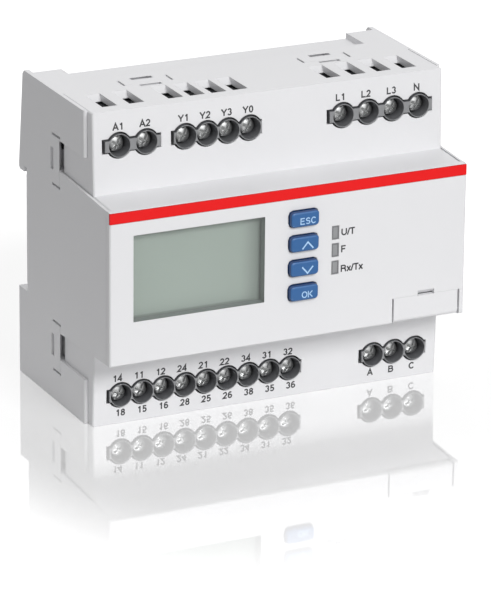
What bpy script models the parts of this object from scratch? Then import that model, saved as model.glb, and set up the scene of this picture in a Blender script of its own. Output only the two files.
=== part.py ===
"""Voltage monitoring relay in a six-module housing that snaps onto a 35 mm rail.

Metres, +Z up. X runs along the rail, +Y points out of the back, and the origin is the
middle of the face that rests against the rail.
"""

import math

import bmesh
import bpy
from mathutils import Vector

MM = 0.001

# Housing
WIDTH = 108.0 * MM
HEIGHT = 90.0 * MM
SEAT_DEPTH = 57.2 * MM
LEG_DEPTH = 5.8 * MM
RAIL_CENTRE = 44.3 * MM
COVER_DEPTH = 34.0 * MM
WALL = 2.0 * MM
CAP_WALL = 2.5 * MM
SKIN = 0.8 * MM
EDGE = 0.35 * MM
SEAM = 0.2 * MM
CLEAR = 0.3 * MM
INLAY_GAP = 0.1 * MM

# Nose and terminal faces
NOSE_HEIGHT = 44.0 * MM
NOSE_DEPTH = 13.2 * MM
NOSE_DRAFT = 0.05
PANEL = 2.2 * MM
FACE_LEAN = 0.9 * MM
PAD_SETBACK = 3.0 * MM
PAD_HIGH = 13.3 * MM
PAD_LOW = 13.0 * MM
PAD_ROUND = 0.9 * MM

# Rail hook, back wall and ears
RAIL_HEIGHT = 35.0 * MM
RAIL_GRIP = 1.4 * MM
SEAT_RELIEF = 0.2 * MM
SEAT_MARGIN = 0.2 * MM
HOOK_OVERLAP = 1.3 * MM
HOOK_PLAY = 0.3 * MM
HOOK_BAR = 4.0 * MM
HOOK_DEPTH = 5.3 * MM
EAR_DEPTH = 2.0 * MM
LEG_PLAY = 1.1 * MM
BACK_RECESS = 1.7 * MM
EAR_WALL = 1.5 * MM
GUSSET = 2.0 * MM
GUSSET_HEIGHT = 14.0 * MM
GUSSET_X = 18.0 * MM
SCOOP_DEPTH = 1.6 * MM
SCOOP_LENGTH = 11.3 * MM
SCOOP_END = 10.0 * MM

# Snap joints between the two shells
SNAP_X = 27.3 * MM
SNAP_HIGH = 26.0 * MM
SNAP_LOW = 28.3 * MM
TONGUE_WIDTH = 14.4 * MM
TONGUE_LENGTH = 5.0 * MM
SLIT = 0.7 * MM
SNAP_WIDTH = 6.4 * MM
SNAP_REACH = 4.1 * MM
SNAP_SLOT = 1.9 * MM
FINGER = 1.3 * MM
FINGER_ROOT = 2.0 * MM
COVER_SLOT = 1.5 * MM
COVER_SLOT_SETBACK = 2.2 * MM
COVER_SLOT_REACH = 8.0 * MM
SIDE_WINDOW = 2.1 * MM

# Display, keys, indicators and the coloured stripe
STRIPE_HEIGHT = 3.1 * MM
STRIPE_DEPTH = 0.6 * MM
STRIPE_LIP = 0.2 * MM
DISPLAY_WIDTH = 39.1 * MM
DISPLAY_HEIGHT = 24.6 * MM
DISPLAY_LEFT = 7.0 * MM
DISPLAY_DROP = 7.25 * MM
WINDOW_FLANGE = 1.2 * MM
WINDOW_FLANGE_THICKNESS = 0.6 * MM
BEZEL_LIP = 0.6 * MM
BEZEL_WALL = 0.8 * MM
GLASS_THICKNESS = 2.2 * MM
BOARD_SETBACK = 8.2 * MM
BOARD = 1.6 * MM
KEY_WIDTH = 8.6 * MM
KEY_HEIGHT = 4.4 * MM
KEY_PROUD = 1.5 * MM
KEY_LEFT = 57.7 * MM
KEY_DROP = 9.05 * MM
KEY_PITCH = 7.1 * MM
KEY_CORNER = 1.1 * MM
KEY_FLANGE = 0.5 * MM
KEY_FLANGE_THICKNESS = 1.0 * MM
KEY_TRAVEL = 0.6 * MM
STEM_WIDTH = 3.0 * MM
STEM_HEIGHT = 2.0 * MM
SWITCH_SIZE = 5.2 * MM
SWITCH_HEIGHT = 1.5 * MM
PLUNGER_RADIUS = 1.5 * MM
LED_WIDTH = 2.0 * MM
LED_HEIGHT = 3.8 * MM
LED_LEFT = 67.6 * MM
LED_DROP = 14.7 * MM
LED_PITCH = 5.05 * MM
GUIDE_BAR = 1.0 * MM

# Service flap and what it covers
FLAP_WIDTH = 20.4 * MM
FLAP_HEIGHT = 7.35 * MM
FLAP_MARGIN = 1.7 * MM
FLAP_THICKNESS = 1.5 * MM
FLAP_BARREL = 1.25 * MM
FLAP_PIN = 0.6 * MM
FLAP_PIN_LENGTH = 0.9 * MM
PRY_WIDTH = 5.1 * MM
PRY_HEIGHT = 1.3 * MM
PRY_DEPTH = 1.5 * MM
HEADER_WIDTH = 7.6 * MM
HEADER_HEIGHT = 4.6 * MM
HEADER_THICKNESS = 2.4 * MM
HEADER_MARGIN = 1.2 * MM
HEADER_PIN = 0.64 * MM
HEADER_PIN_REACH = 1.5 * MM

# Terminals
TERMINAL_DROP = 9.75 * MM
TERMINAL_LIFT = 8.35 * MM
WELL_RADIUS = 3.75 * MM
WEB_HEIGHT = 4.1 * MM
WEB_LEFT = 1.0 * MM
WEB_RIGHT = 0.45 * MM
RIM_GAP = 0.45 * MM
RIM_LEFT = 0.3 * MM
RIM_RIGHT = 0.15 * MM
RIM_PROUD = 0.55 * MM
BORE_RADIUS = 2.85 * MM
SCREW_SETBACK = 1.9 * MM
SCREW_HEAD = 2.2 * MM
SCREW_HEAD_HEIGHT = 2.3 * MM
SCREW_SHANK = 1.4 * MM
SCREW_SHANK_LENGTH = 6.0 * MM
SCREW_SLOT = 0.7 * MM
SLOT_DEPTH = 0.9 * MM
CROSS_DEPTH = 1.3 * MM
CROSS_REACH = 1.5 * MM
SCREW_TURN = math.radians(28)
WIRE_SPACE = 4.4 * MM
WIRE_WIDTH = 4.4 * MM
WIRE_DROP = 6.2 * MM
ENTRY_WIDTH = 4.4 * MM
ENTRY_SHIFT = 0.6 * MM
ENTRY_SETBACK = 5.2 * MM
ENTRY_LENGTH = 11.9 * MM
ENTRY_SLOPE = 2.0 * MM
BLOCK_END = 0.6 * MM
BLOCK_INSET = 9.7 * MM
BLOCK_REAR = 3.3 * MM

# Rail latches and their springs
LATCH_X = 27.0 * MM
LATCH_WIDTH = 14.0 * MM
LATCH_FLANGE = 1.2 * MM
LATCH_FLANGE_THICKNESS = 1.5 * MM
LATCH_THICKNESS = 4.0 * MM
LATCH_NOSE = 1.3 * MM
LATCH_SETBACK = 0.5 * MM
LATCH_LIFT = 1.0 * MM
LATCH_GUIDE = 2.0 * MM
EYE_WIDTH = 6.4 * MM
EYE_HEIGHT = 2.6 * MM
STOP_RAISE = 8.0 * MM
STOP_HEIGHT = 1.8 * MM
STOP_WIDTH = 4.8 * MM
SPRING_LENGTH = 8.4 * MM
SPRING_RADIUS = 1.5 * MM
SPRING_WIRE = 0.25 * MM
SPRING_TURNS = 4

# Parts inside
POST_RADIUS = 1.4 * MM
POST_MARGIN = 8.0 * MM
POST_RIGHT_MARGIN = 28.0 * MM
POST_DROP = 3.6 * MM
POST_LIFT = 6.0 * MM
REAR_POST_MARGIN = 10.7 * MM
REAR_POST_DROP = 20.5 * MM
REAR_POST_LIFT = 33.3 * MM
BOARD_MARGIN = 4.3 * MM
BOARD_HEIGHT_MARGIN = 5.9 * MM
RELAY_MARGIN = 3.2 * MM
RELAY_GAP = 3.0 * MM
RELAY_DEPTH = 15.7 * MM
RELAY_HEIGHT = 12.6 * MM
RELAY_LIFT = 14.5 * MM
TRANSFORMER_WIDTH = 28.0 * MM
TRANSFORMER_HEIGHT = 20.0 * MM
TRANSFORMER_LEFT = 22.0 * MM
TRANSFORMER_DROP = 15.0 * MM
COIL_MARGIN = 3.5 * MM
CAPACITOR_RADIUS = 5.0 * MM
CAPACITOR_LENGTH = 16.0 * MM
CAPACITOR_GROOVE = 0.5 * MM
CAPACITOR_LEFT = 46.0 * MM
CAPACITOR_DROP = 10.0 * MM
LINK_WIDTH = 20.0 * MM
LINK_HEIGHT = 2.5 * MM
LINK_RIGHT = 28.0 * MM
LINK_DROP = 6.0 * MM

# Reference planes
LEFT = -WIDTH / 2
RIGHT = WIDTH / 2
BOTTOM = -RAIL_CENTRE
TOP = BOTTOM + HEIGHT
FRONT = -SEAT_DEPTH
FACE = FRONT + NOSE_DEPTH
SPLIT = FRONT + COVER_DEPTH
PANEL_BACK = FRONT + PANEL
LAP = SKIN + CLEAR
HOOD_WALL = WALL - SKIN + EDGE
BACK_WALL = -BACK_RECESS
CAVITY_BACK = BACK_WALL - WALL
CEILING = TOP - WALL - SCOOP_DEPTH
FLOOR = BOTTOM + WALL
BEYOND = 2 * MM

# Terminal groups: name, row (1 upper, -1 lower), first screw's x, pitch, ways
SUPPLY_LEFT = 8.8 * MM
SUPPLY_PITCH = 8.0 * MM
CONTROL_LEFT = 28.4 * MM
MEASURING_RIGHT = 31.9 * MM
MEASURING_PITCH = 7.8 * MM
OUTPUT_LEFT = 9.3 * MM
OUTPUT_PITCH = 6.45 * MM
BUS_RIGHT = 21.2 * MM
BUS_PITCH = 6.6 * MM
TERMINAL_GROUPS = (
    ("supply", 1, LEFT + SUPPLY_LEFT, SUPPLY_PITCH, ("A1", "A2")),
    ("control", 1, LEFT + CONTROL_LEFT, OUTPUT_PITCH, ("Y1", "Y2", "Y3", "Y0")),
    ("measuring", 1, RIGHT - MEASURING_RIGHT, MEASURING_PITCH, ("L1", "L2", "L3", "N")),
    ("output", -1, LEFT + OUTPUT_LEFT, OUTPUT_PITCH, ("14_18", "11_15", "12_16", "24_28", "21_25",
                                                      "22_26", "34_38", "31_35", "32_36")),
    ("bus", -1, RIGHT - BUS_RIGHT, BUS_PITCH, ("A", "B", "C")),
)


def clear_scene():
    """Start from an empty scene."""
    for item in list(bpy.data.objects):
        bpy.data.objects.remove(item)


def add_object(name, shape):
    """Turn a bmesh into a named object with its faces pointing out."""
    bmesh.ops.recalc_face_normals(shape, faces=shape.faces)
    mesh = bpy.data.meshes.new(name)
    shape.to_mesh(mesh)
    shape.free()
    piece = bpy.data.objects.new(name, mesh)
    bpy.context.scene.collection.objects.link(piece)
    return piece


def on_axis(axis, along, first, second):
    """Place a point by its distance along an axis and its two other coordinates in order."""
    if axis == "X":
        return Vector((along, first, second))
    if axis == "Y":
        return Vector((first, along, second))
    return Vector((first, second, along))


def prism(name, outline, axis, start, end, edge=0.0, edge_ends=("start", "end"), segments=1):
    """Extrude a closed outline along an axis and bevel the rims of its ends."""
    shape = bmesh.new()
    corners = [shape.verts.new(on_axis(axis, start, *point)) for point in outline]
    face = shape.faces.new(corners)
    swept = bmesh.ops.extrude_face_region(shape, geom=[face])
    moved = [item for item in swept["geom"] if isinstance(item, bmesh.types.BMVert)]
    bmesh.ops.translate(shape, verts=moved, vec=on_axis(axis, end - start, 0, 0))
    if edge:
        index = "XYZ".index(axis)
        places = [{"start": start, "end": end}[side] for side in edge_ends]
        rims = [line for line in shape.edges
                if any(all(abs(v.co[index] - place) < 1e-7 for v in line.verts) for place in places)]
        bmesh.ops.bevel(shape, geom=rims, offset=edge, offset_type="OFFSET", segments=segments,
                        profile=0.5, affect="EDGES", clamp_overlap=True)
    return add_object(name, shape)


def rectangle(first, second):
    """Outline of a rectangle given by two ranges."""
    return ((first[0], second[0]), (first[1], second[0]), (first[1], second[1]), (first[0], second[1]))


def block(name, x, y, z, edge=0.0):
    """A box between three ranges."""
    return prism(name, rectangle(y, z), "X", x[0], x[1], edge)


def arc(centre, radius, start, end, steps):
    """Points along an arc, angles in degrees."""
    points = []
    for step in range(steps + 1):
        angle = math.radians(start + (end - start) * step / steps)
        points.append((centre[0] + radius * math.cos(angle), centre[1] + radius * math.sin(angle)))
    return points


def rounded_rectangle(centre, width, height, corner):
    """Outline of a rectangle with round corners."""
    steps = 2
    outline = []
    for start, side, rise in ((0, 1, 1), (90, -1, 1), (180, -1, -1), (270, 1, -1)):
        middle = (centre[0] + side * (width / 2 - corner), centre[1] + rise * (height / 2 - corner))
        outline += arc(middle, corner, start, start + 90, steps)
    return outline


def turned(name, axis, centre, profile, steps):
    """Revolve a profile of (radius, distance) points about an axis through a centre."""
    shape = bmesh.new()
    chain = [shape.verts.new(on_axis(axis, along, radius, 0)) for radius, along in profile]
    links = [shape.edges.new(pair) for pair in zip(chain, chain[1:])]
    bmesh.ops.spin(shape, geom=chain + links, cent=(0, 0, 0), axis=on_axis(axis, 1, 0, 0),
                   angle=math.tau, steps=steps, use_merge=True)
    bmesh.ops.remove_doubles(shape, verts=shape.verts, dist=1e-7)
    across = [index for index in range(3) if index != "XYZ".index(axis)]
    hubs = [v for v in shape.verts if all(abs(v.co[index]) < 1e-7 for index in across)]
    bmesh.ops.dissolve_verts(shape, verts=hubs)
    bmesh.ops.translate(shape, verts=shape.verts, vec=centre)
    return add_object(name, shape)


def combine(piece, tools, operation):
    """Run one boolean for each tool on a piece, keep the result and clear the tools away."""
    for tool in tools:
        step = piece.modifiers.new(operation.title(), "BOOLEAN")
        step.operation = operation
        step.solver = "EXACT"
        step.object = tool
    graph = bpy.context.evaluated_depsgraph_get()
    result = bpy.data.meshes.new_from_object(piece.evaluated_get(graph))
    piece.modifiers.clear()
    piece.data = result
    for tool in tools:
        bpy.data.objects.remove(tool)
    return piece


def cut(piece, *tools):
    """Take the tools away from a piece."""
    return combine(piece, tools, "DIFFERENCE")


def fuse(piece, *tools):
    """Join the tools to a piece."""
    return combine(piece, tools, "UNION")


def material(name, colour, roughness, metallic=0.0, alpha=1.0):
    """A plain finish for a piece."""
    finish = bpy.data.materials.new(name)
    finish.use_nodes = True
    shader = finish.node_tree.nodes["Principled BSDF"]
    shader.inputs["Base Color"].default_value = (*colour, 1.0)
    shader.inputs["Roughness"].default_value = roughness
    shader.inputs["Metallic"].default_value = metallic
    shader.inputs["Alpha"].default_value = alpha
    finish.diffuse_color = (*colour, alpha)
    return finish


def dress(piece, finish, smooth=False):
    """Give a piece its material, and smooth shading if it is round."""
    piece.data.materials.clear()
    piece.data.materials.append(finish)
    if smooth:
        piece.data.shade_smooth()
        piece.data.set_sharp_from_angle(angle=math.radians(35))
    return piece


def nose_top(y):
    """Height of the nose's upper side at a depth."""
    return NOSE_HEIGHT / 2 + NOSE_DRAFT * max(y - PANEL_BACK, 0)


def face_at(z):
    """Depth of the leaning terminal faces at a height above or below the nose."""
    reach = (TOP if z > 0 else -BOTTOM) - NOSE_HEIGHT / 2
    return FACE + FACE_LEAN * max(abs(z) - NOSE_HEIGHT / 2, 0) / reach


def shell_edge(row):
    """The housing's upper or lower outside."""
    return TOP if row > 0 else BOTTOM


def terminal_height(row):
    """Height of a row of terminal screws, set in from the housing's upper or lower outside."""
    return TOP - TERMINAL_DROP if row > 0 else BOTTOM + TERMINAL_LIFT


def base_outline():
    """Side view of the rear housing: pads and nose cheeks in front, hook and legs behind."""
    pad = face_at(TOP) + PAD_SETBACK
    lip = RAIL_HEIGHT / 2 - HOOK_OVERLAP
    hook_top = RAIL_HEIGHT / 2 + HOOK_PLAY
    leg_top = -RAIL_HEIGHT / 2 - LEG_PLAY
    seat_top = lip - SEAT_MARGIN
    seat_bottom = leg_top + LEG_PLAY + LATCH_NOSE + SEAT_MARGIN
    cheek = PANEL_BACK + SEAM
    high = TOP - PAD_HIGH
    low = BOTTOM + PAD_LOW
    return (
        (pad, BOTTOM),
        (LEG_DEPTH, BOTTOM),
        (LEG_DEPTH, leg_top),
        (-SEAT_RELIEF, leg_top),
        (-SEAT_RELIEF, seat_bottom),
        (0, seat_bottom),
        (0, seat_top),
        (-SEAT_RELIEF, seat_top),
        (-SEAT_RELIEF, hook_top),
        (RAIL_GRIP, hook_top),
        (RAIL_GRIP, lip + EDGE),
        (RAIL_GRIP + EDGE, lip),
        (HOOK_DEPTH - 2 * EDGE, lip),
        (HOOK_DEPTH, lip + 2 * EDGE),
        (HOOK_DEPTH, hook_top + EDGE),
        (EAR_DEPTH + EDGE, TOP - 3 * EDGE),
        (EAR_DEPTH - 2 * EDGE, TOP),
        (pad, TOP),
        (pad, high),
        (SPLIT, high),
        (SPLIT, nose_top(SPLIT)),
        (cheek, nose_top(cheek)),
        (cheek, -nose_top(cheek)),
        (SPLIT, -nose_top(SPLIT)),
        (SPLIT, low),
        (pad, low),
    )


def pad_rounding(side, z):
    """Cutter that rounds the front end of a side pad."""
    pad = face_at(TOP) + PAD_SETBACK
    outer = side * WIDTH / 2
    inner = outer - side * (SKIN + CLEAR)
    curve = []
    for step in range(4):
        angle = math.radians(90 * step / 3)
        along = pad + PAD_ROUND * (1 - math.sin(angle))
        curve.append((outer - side * SKIN * (1 - math.cos(angle)), along))
    outline = [(outer + side * BEYOND, pad - BEYOND), (inner, pad - BEYOND), (inner, pad)]
    outline += list(reversed(curve))
    outline.append((outer + side * BEYOND, pad + PAD_ROUND))
    return prism("pad_rounding", outline, "Z", z[0], z[1])


def scoop():
    """Cutter for the shallow hollow along the rear of the top."""
    start = BACK_WALL - SCOOP_LENGTH
    ramp = arc((start + SCOOP_DEPTH, TOP), SCOOP_DEPTH, 180, 270, 4)
    outline = ramp + [(BACK_WALL + BEYOND, TOP - SCOOP_DEPTH), (BACK_WALL + BEYOND, TOP + BEYOND),
                      (start, TOP + BEYOND)]
    return prism("scoop", outline, "X", LEFT + SCOOP_END, RIGHT - SCOOP_END)


def flat_snap_cuts(row, side):
    """Slits and slot of a snap tongue in the top or bottom wall of the rear housing."""
    centre = side * SNAP_X
    outer = shell_edge(row) + row * BEYOND
    inner = (CEILING if row > 0 else FLOOR) - row * BEYOND
    z = sorted((outer, inner))
    tools = []
    for hand in (-1, 1):
        x = centre + hand * TONGUE_WIDTH / 2
        tools.append(block("slit", (x - SLIT / 2, x + SLIT / 2), (SPLIT, SPLIT + TONGUE_LENGTH), z))
    slot = (SPLIT + SNAP_REACH, SPLIT + SNAP_REACH + SNAP_SLOT)
    tools.append(block("slot", (centre - SNAP_WIDTH / 2, centre + SNAP_WIDTH / 2), slot, z))
    return tools


def side_snap_cuts(side, centre):
    """Slits and slot of a snap tongue in a side wall of the rear housing."""
    x = sorted((side * (WIDTH / 2 + BEYOND), side * (WIDTH / 2 - WALL - CLEAR)))
    tools = []
    for hand in (-1, 1):
        z = centre + hand * TONGUE_WIDTH / 2
        tools.append(block("slit", x, (SPLIT - SLIT, SPLIT + TONGUE_LENGTH), (z - SLIT / 2, z + SLIT / 2)))
    slot = (SPLIT + SNAP_REACH, SPLIT + SNAP_REACH + SNAP_SLOT)
    tools.append(block("slot", x, slot, (centre - SNAP_WIDTH / 2, centre + SNAP_WIDTH / 2)))
    return tools


def latch_channel(centre):
    """Cutter for a rail latch's guide: wide in front for its flanges, narrow and open behind."""
    wide = LATCH_WIDTH / 2 + LATCH_FLANGE + CLEAR
    narrow = LATCH_WIDTH / 2 + CLEAR
    near = latch_front() - CLEAR
    step = latch_front() + LATCH_FLANGE_THICKNESS + CLEAR
    outline = (
        (centre - wide, near),
        (centre + wide, near),
        (centre + wide, step),
        (centre + narrow, step),
        (centre + narrow, LEG_DEPTH + BEYOND),
        (centre - narrow, LEG_DEPTH + BEYOND),
        (centre - narrow, step),
        (centre - wide, step),
    )
    leg_top = -RAIL_HEIGHT / 2 - LEG_PLAY
    return prism("latch_channel", outline, "Z", BOTTOM - BEYOND, leg_top + BEYOND)


def latch_front():
    """Depth of the latch's front face."""
    return LEG_DEPTH - LATCH_SETBACK - LATCH_THICKNESS


def back_pockets():
    """Cutters that leave the back as thin ribs: above the hook bar and in the legs."""
    inner = WIDTH / 2 - EAR_WALL
    hook_bar = RAIL_HEIGHT / 2 + HOOK_PLAY + HOOK_BAR
    guide = LATCH_WIDTH / 2 + LATCH_FLANGE + CLEAR + LATCH_GUIDE
    leg_roof = -RAIL_HEIGHT / 2 - LEG_PLAY - WALL
    behind = max(LEG_DEPTH, HOOK_DEPTH) + BEYOND
    tools = [block("ear_pocket", (-inner, inner), (BACK_WALL, behind), (hook_bar, TOP + BEYOND))]
    spans = ((-inner, -LATCH_X - guide), (-LATCH_X + guide, LATCH_X - guide), (LATCH_X + guide, inner))
    for span in spans:
        tools.append(block("leg_pocket", span, (BACK_WALL, behind), (FLOOR, leg_roof)))
    return tools


def hook_gussets():
    """Triangular ribs that stiffen the hook bar between the ears."""
    foot = RAIL_HEIGHT / 2 + HOOK_PLAY + HOOK_BAR
    outline = ((BACK_WALL - WALL / 2, foot - WALL / 2), (HOOK_DEPTH - WALL, foot - WALL / 2),
               (BACK_WALL - WALL / 2, foot + GUSSET_HEIGHT))
    return [prism("gusset", outline, "X", x - GUSSET / 2, x + GUSSET / 2) for x in (-GUSSET_X, GUSSET_X)]


def board_back():
    """Depth of the main board's rear face."""
    return block_back() + CLEAR + BOARD


def rear_housing():
    """Moulded base: rail hook and legs behind, cheeks and pads that lap over the cover in front."""
    body = prism("rear_housing", base_outline(), "X", LEFT, RIGHT, EDGE)
    inner = WIDTH / 2 - SKIN
    lap = block("lap", (-inner, inner), (FRONT - BEYOND, SPLIT + SEAM), (BOTTOM - BEYOND, TOP + BEYOND))
    inside = WIDTH / 2 - WALL
    cavity = block("cavity", (-inside, inside), (SPLIT - BEYOND, CAVITY_BACK), (FLOOR, CEILING))
    cut(body, lap, cavity, scoop(), *back_pockets())
    posts = []
    for x in (LEFT + REAR_POST_MARGIN, RIGHT - REAR_POST_MARGIN):
        for z in (BOTTOM + REAR_POST_LIFT, TOP - REAR_POST_DROP):
            profile = ((0, board_back() + CLEAR), (POST_RADIUS, board_back() + CLEAR),
                       (1.5 * POST_RADIUS, CAVITY_BACK + WALL / 2), (0, CAVITY_BACK + WALL / 2))
            posts.append(turned("post", "Y", (x, 0, z), profile, 6))
    fuse(body, *hook_gussets(), *posts)
    tools = [pad_rounding(side, z) for side in (-1, 1)
             for z in ((TOP - PAD_HIGH, TOP + BEYOND), (BOTTOM - BEYOND, BOTTOM + PAD_LOW))]
    for side in (-1, 1):
        tools.append(latch_channel(side * LATCH_X))
        tools += side_snap_cuts(side, SNAP_HIGH)
        tools += side_snap_cuts(side, -SNAP_LOW)
        for row in (-1, 1):
            tools += flat_snap_cuts(row, side)
    cut(body, *tools)
    stops = []
    for side in (-1, 1):
        x = side * LATCH_X
        stops.append(block("spring_stop", (x - STOP_WIDTH / 2, x + STOP_WIDTH / 2),
                           (latch_front() - CLEAR - EDGE, latch_front() + LATCH_THICKNESS - CLEAR),
                           (BOTTOM + STOP_RAISE, BOTTOM + STOP_RAISE + STOP_HEIGHT)))
    return fuse(body, *stops)


def screw_places():
    """Every terminal screw: name, group, x and height."""
    places = []
    for group, row, first, pitch, ways in TERMINAL_GROUPS:
        for number, way in enumerate(ways):
            places.append((way, group, first + number * pitch, terminal_height(row)))
    return places


def chain_outline(first, pitch, count, height, radius, half_web, left, right):
    """Outline of a row of round openings joined by a straight slot that runs past both ends."""
    lean = math.degrees(math.asin(half_web / radius))
    start = first - pitch / 2 - left
    upper = [(start, height + half_web)]
    lower = []
    for number in range(count):
        centre = (first + number * pitch, height)
        upper += arc(centre, radius, 180 - lean, lean, 5)
        lower = arc(centre, radius, -lean, lean - 180, 5) + lower
    end = first + (count - 1) * pitch + pitch / 2 + right
    outline = upper + [(end, height + half_web), (end, height - half_web)]
    return outline + lower + [(start, height - half_web)]


def wire_entry(x, row):
    """Cutter for a wire entry in the cover: upright walls and a sloping rear end."""
    outer = shell_edge(row)
    start = FACE + ENTRY_SETBACK
    end = start + ENTRY_LENGTH
    outline = (
        (start, outer + row * BEYOND),
        (end, outer + row * BEYOND),
        (end, outer),
        (end - ENTRY_SLOPE, outer - row * CAP_WALL),
        (end - ENTRY_SLOPE, outer - row * (CAP_WALL + CLEAR)),
        (start, outer - row * (CAP_WALL + CLEAR)),
    )
    return prism("wire_entry", outline, "X", x - ENTRY_WIDTH / 2, x + ENTRY_WIDTH / 2)


def hood_outline(inset, cap):
    """Side view of the cover: nose between two terminal steps, or its inside at an inset."""
    nose_front = PANEL_BACK if inset else PANEL_BACK - PANEL / 2
    outline = []
    for row in (1, -1):
        outer = abs(shell_edge(row)) - cap
        corner = (
            (nose_front, nose_top(nose_front) - inset),
            (FACE + inset, nose_top(FACE) - inset),
            (FACE + FACE_LEAN + inset, outer),
            (SPLIT + (BEYOND if inset else 0), outer),
        )
        points = [(y, row * z) for y, z in corner]
        outline += points if row > 0 else reversed(points)
    return outline


def flat_finger(row, side):
    """Snap finger on the cover that runs under the rear housing's wall and catches in its slot."""
    x = side * SNAP_X
    outer = abs(shell_edge(row))
    wall = outer - abs(CEILING if row > 0 else FLOOR)
    catch = SPLIT + SNAP_REACH + CLEAR
    high = outer - wall - CLEAR
    low = high - FINGER
    barb = outer - WALL / 2
    root = SPLIT - FINGER_ROOT
    end = catch + SNAP_SLOT - 2 * CLEAR
    outline = (
        (root, outer - WALL / 2),
        (root, low),
        (end + FINGER, low),
        (end + FINGER, high - FINGER / 2),
        (end, high),
        (catch + EDGE, barb),
        (catch, barb),
        (catch, high),
        (SPLIT - CLEAR, high),
        (SPLIT - CLEAR, outer - WALL / 2),
    )
    outline = [(y, row * z) for y, z in outline]
    half = SNAP_WIDTH / 2 - CLEAR
    return prism("finger", outline, "X", x - half, x + half)


def finger_root(row, side):
    """Wide root of a snap finger, beside the slot in the cover."""
    x = side * SNAP_X
    outer = abs(shell_edge(row))
    wall = outer - abs(CEILING if row > 0 else FLOOR)
    z = sorted((row * (outer - WALL / 2), row * (outer - wall - CLEAR - FINGER)))
    half = SNAP_WIDTH / 2 + FINGER
    return block("finger_root", (x - half, x + half), (SPLIT - FINGER_ROOT, SPLIT - CLEAR), z)


def side_finger(side, centre):
    """Snap finger inside the cover's side wall that catches in the rear housing's side slot."""
    outer = WIDTH / 2
    catch = SPLIT + SNAP_REACH + CLEAR
    end = catch + SNAP_SLOT - 2 * CLEAR
    near = outer - WALL - CLEAR
    root = SPLIT - SIDE_WINDOW - CLEAR
    outline = (
        (outer - LAP - HOOD_WALL / 2, root - 2 * FINGER),
        (outer - LAP - HOOD_WALL / 2, root),
        (near, root),
        (near, catch),
        (outer - WALL / 2, catch),
        (outer - WALL / 2, catch + EDGE),
        (near, end),
        (near - FINGER / 2, end + FINGER),
        (near - FINGER, end + FINGER),
        (near - FINGER, root - 2 * FINGER),
    )
    outline = [(side * x, y) for x, y in outline]
    half = SNAP_WIDTH / 2 - CLEAR
    return prism("side_finger", outline, "Z", centre - half, centre + half)


def display_centre():
    """Middle of the display in the nose's front."""
    return (LEFT + DISPLAY_LEFT + DISPLAY_WIDTH / 2, NOSE_HEIGHT / 2 - DISPLAY_DROP - DISPLAY_HEIGHT / 2)


def key_places():
    """Keys from the top down: name, x and height."""
    names = ("key_esc", "key_up", "key_down", "key_ok")
    first = NOSE_HEIGHT / 2 - KEY_DROP
    return [(name, LEFT + KEY_LEFT, first - number * KEY_PITCH) for number, name in enumerate(names)]


def led_places():
    """Indicator windows from the top down."""
    first = NOSE_HEIGHT / 2 - LED_DROP
    return [(LEFT + LED_LEFT, first - number * LED_PITCH) for number in range(3)]


def flap_span():
    """Range in X of the opening for the service flap."""
    return (RIGHT - FLAP_MARGIN - FLAP_WIDTH, RIGHT - FLAP_MARGIN)


def flap_axis():
    """Depth and height of the flap's hinge line."""
    return (FRONT + FLAP_BARREL, -NOSE_HEIGHT / 2 + FLAP_BARREL)


def flap_pocket_span():
    """Range in X of the pocket behind the flap."""
    left, right = flap_span()
    return (left, right - LAP)


def flap_cuts():
    """Cutters for the flap's opening, hinge sockets, pocket and pry notch."""
    left, right = flap_span()
    y, z = flap_axis()
    bottom = -NOSE_HEIGHT / 2
    roof = bottom + FLAP_HEIGHT
    swing = y + FLAP_BARREL + CLEAR
    tools = [
        block("flap_opening", (left, right), (FRONT - BEYOND, PANEL_BACK), (bottom - BEYOND, roof)),
        block("barrel_room", (left, right), (FRONT - BEYOND, swing), (bottom - BEYOND, z + FLAP_BARREL)),
        block("pocket", flap_pocket_span(), (FRONT - BEYOND, display_board_front() + BEYOND),
              (bottom + WALL - 2 * CLEAR, roof)),
    ]
    socket = ((0, left - FLAP_PIN_LENGTH - CLEAR), (FLAP_PIN + INLAY_GAP, left - FLAP_PIN_LENGTH - CLEAR),
              (FLAP_PIN + INLAY_GAP, right + FLAP_PIN_LENGTH + CLEAR), (0, right + FLAP_PIN_LENGTH + CLEAR))
    tools.append(turned("socket", "X", (0, y, z), socket, 8))
    middle = (left + right) / 2
    notch = ((FRONT - BEYOND, roof + PRY_HEIGHT + BEYOND * PRY_HEIGHT / PRY_DEPTH),
             (FRONT + PRY_DEPTH, roof), (FRONT + PRY_DEPTH, roof - CLEAR), (FRONT - BEYOND, roof - CLEAR))
    tools.append(prism("pry_notch", notch, "X", middle - PRY_WIDTH / 2, middle + PRY_WIDTH / 2))
    return tools


def display_board_front():
    """Depth of the display board's front face."""
    return FRONT + BOARD_SETBACK


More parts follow.
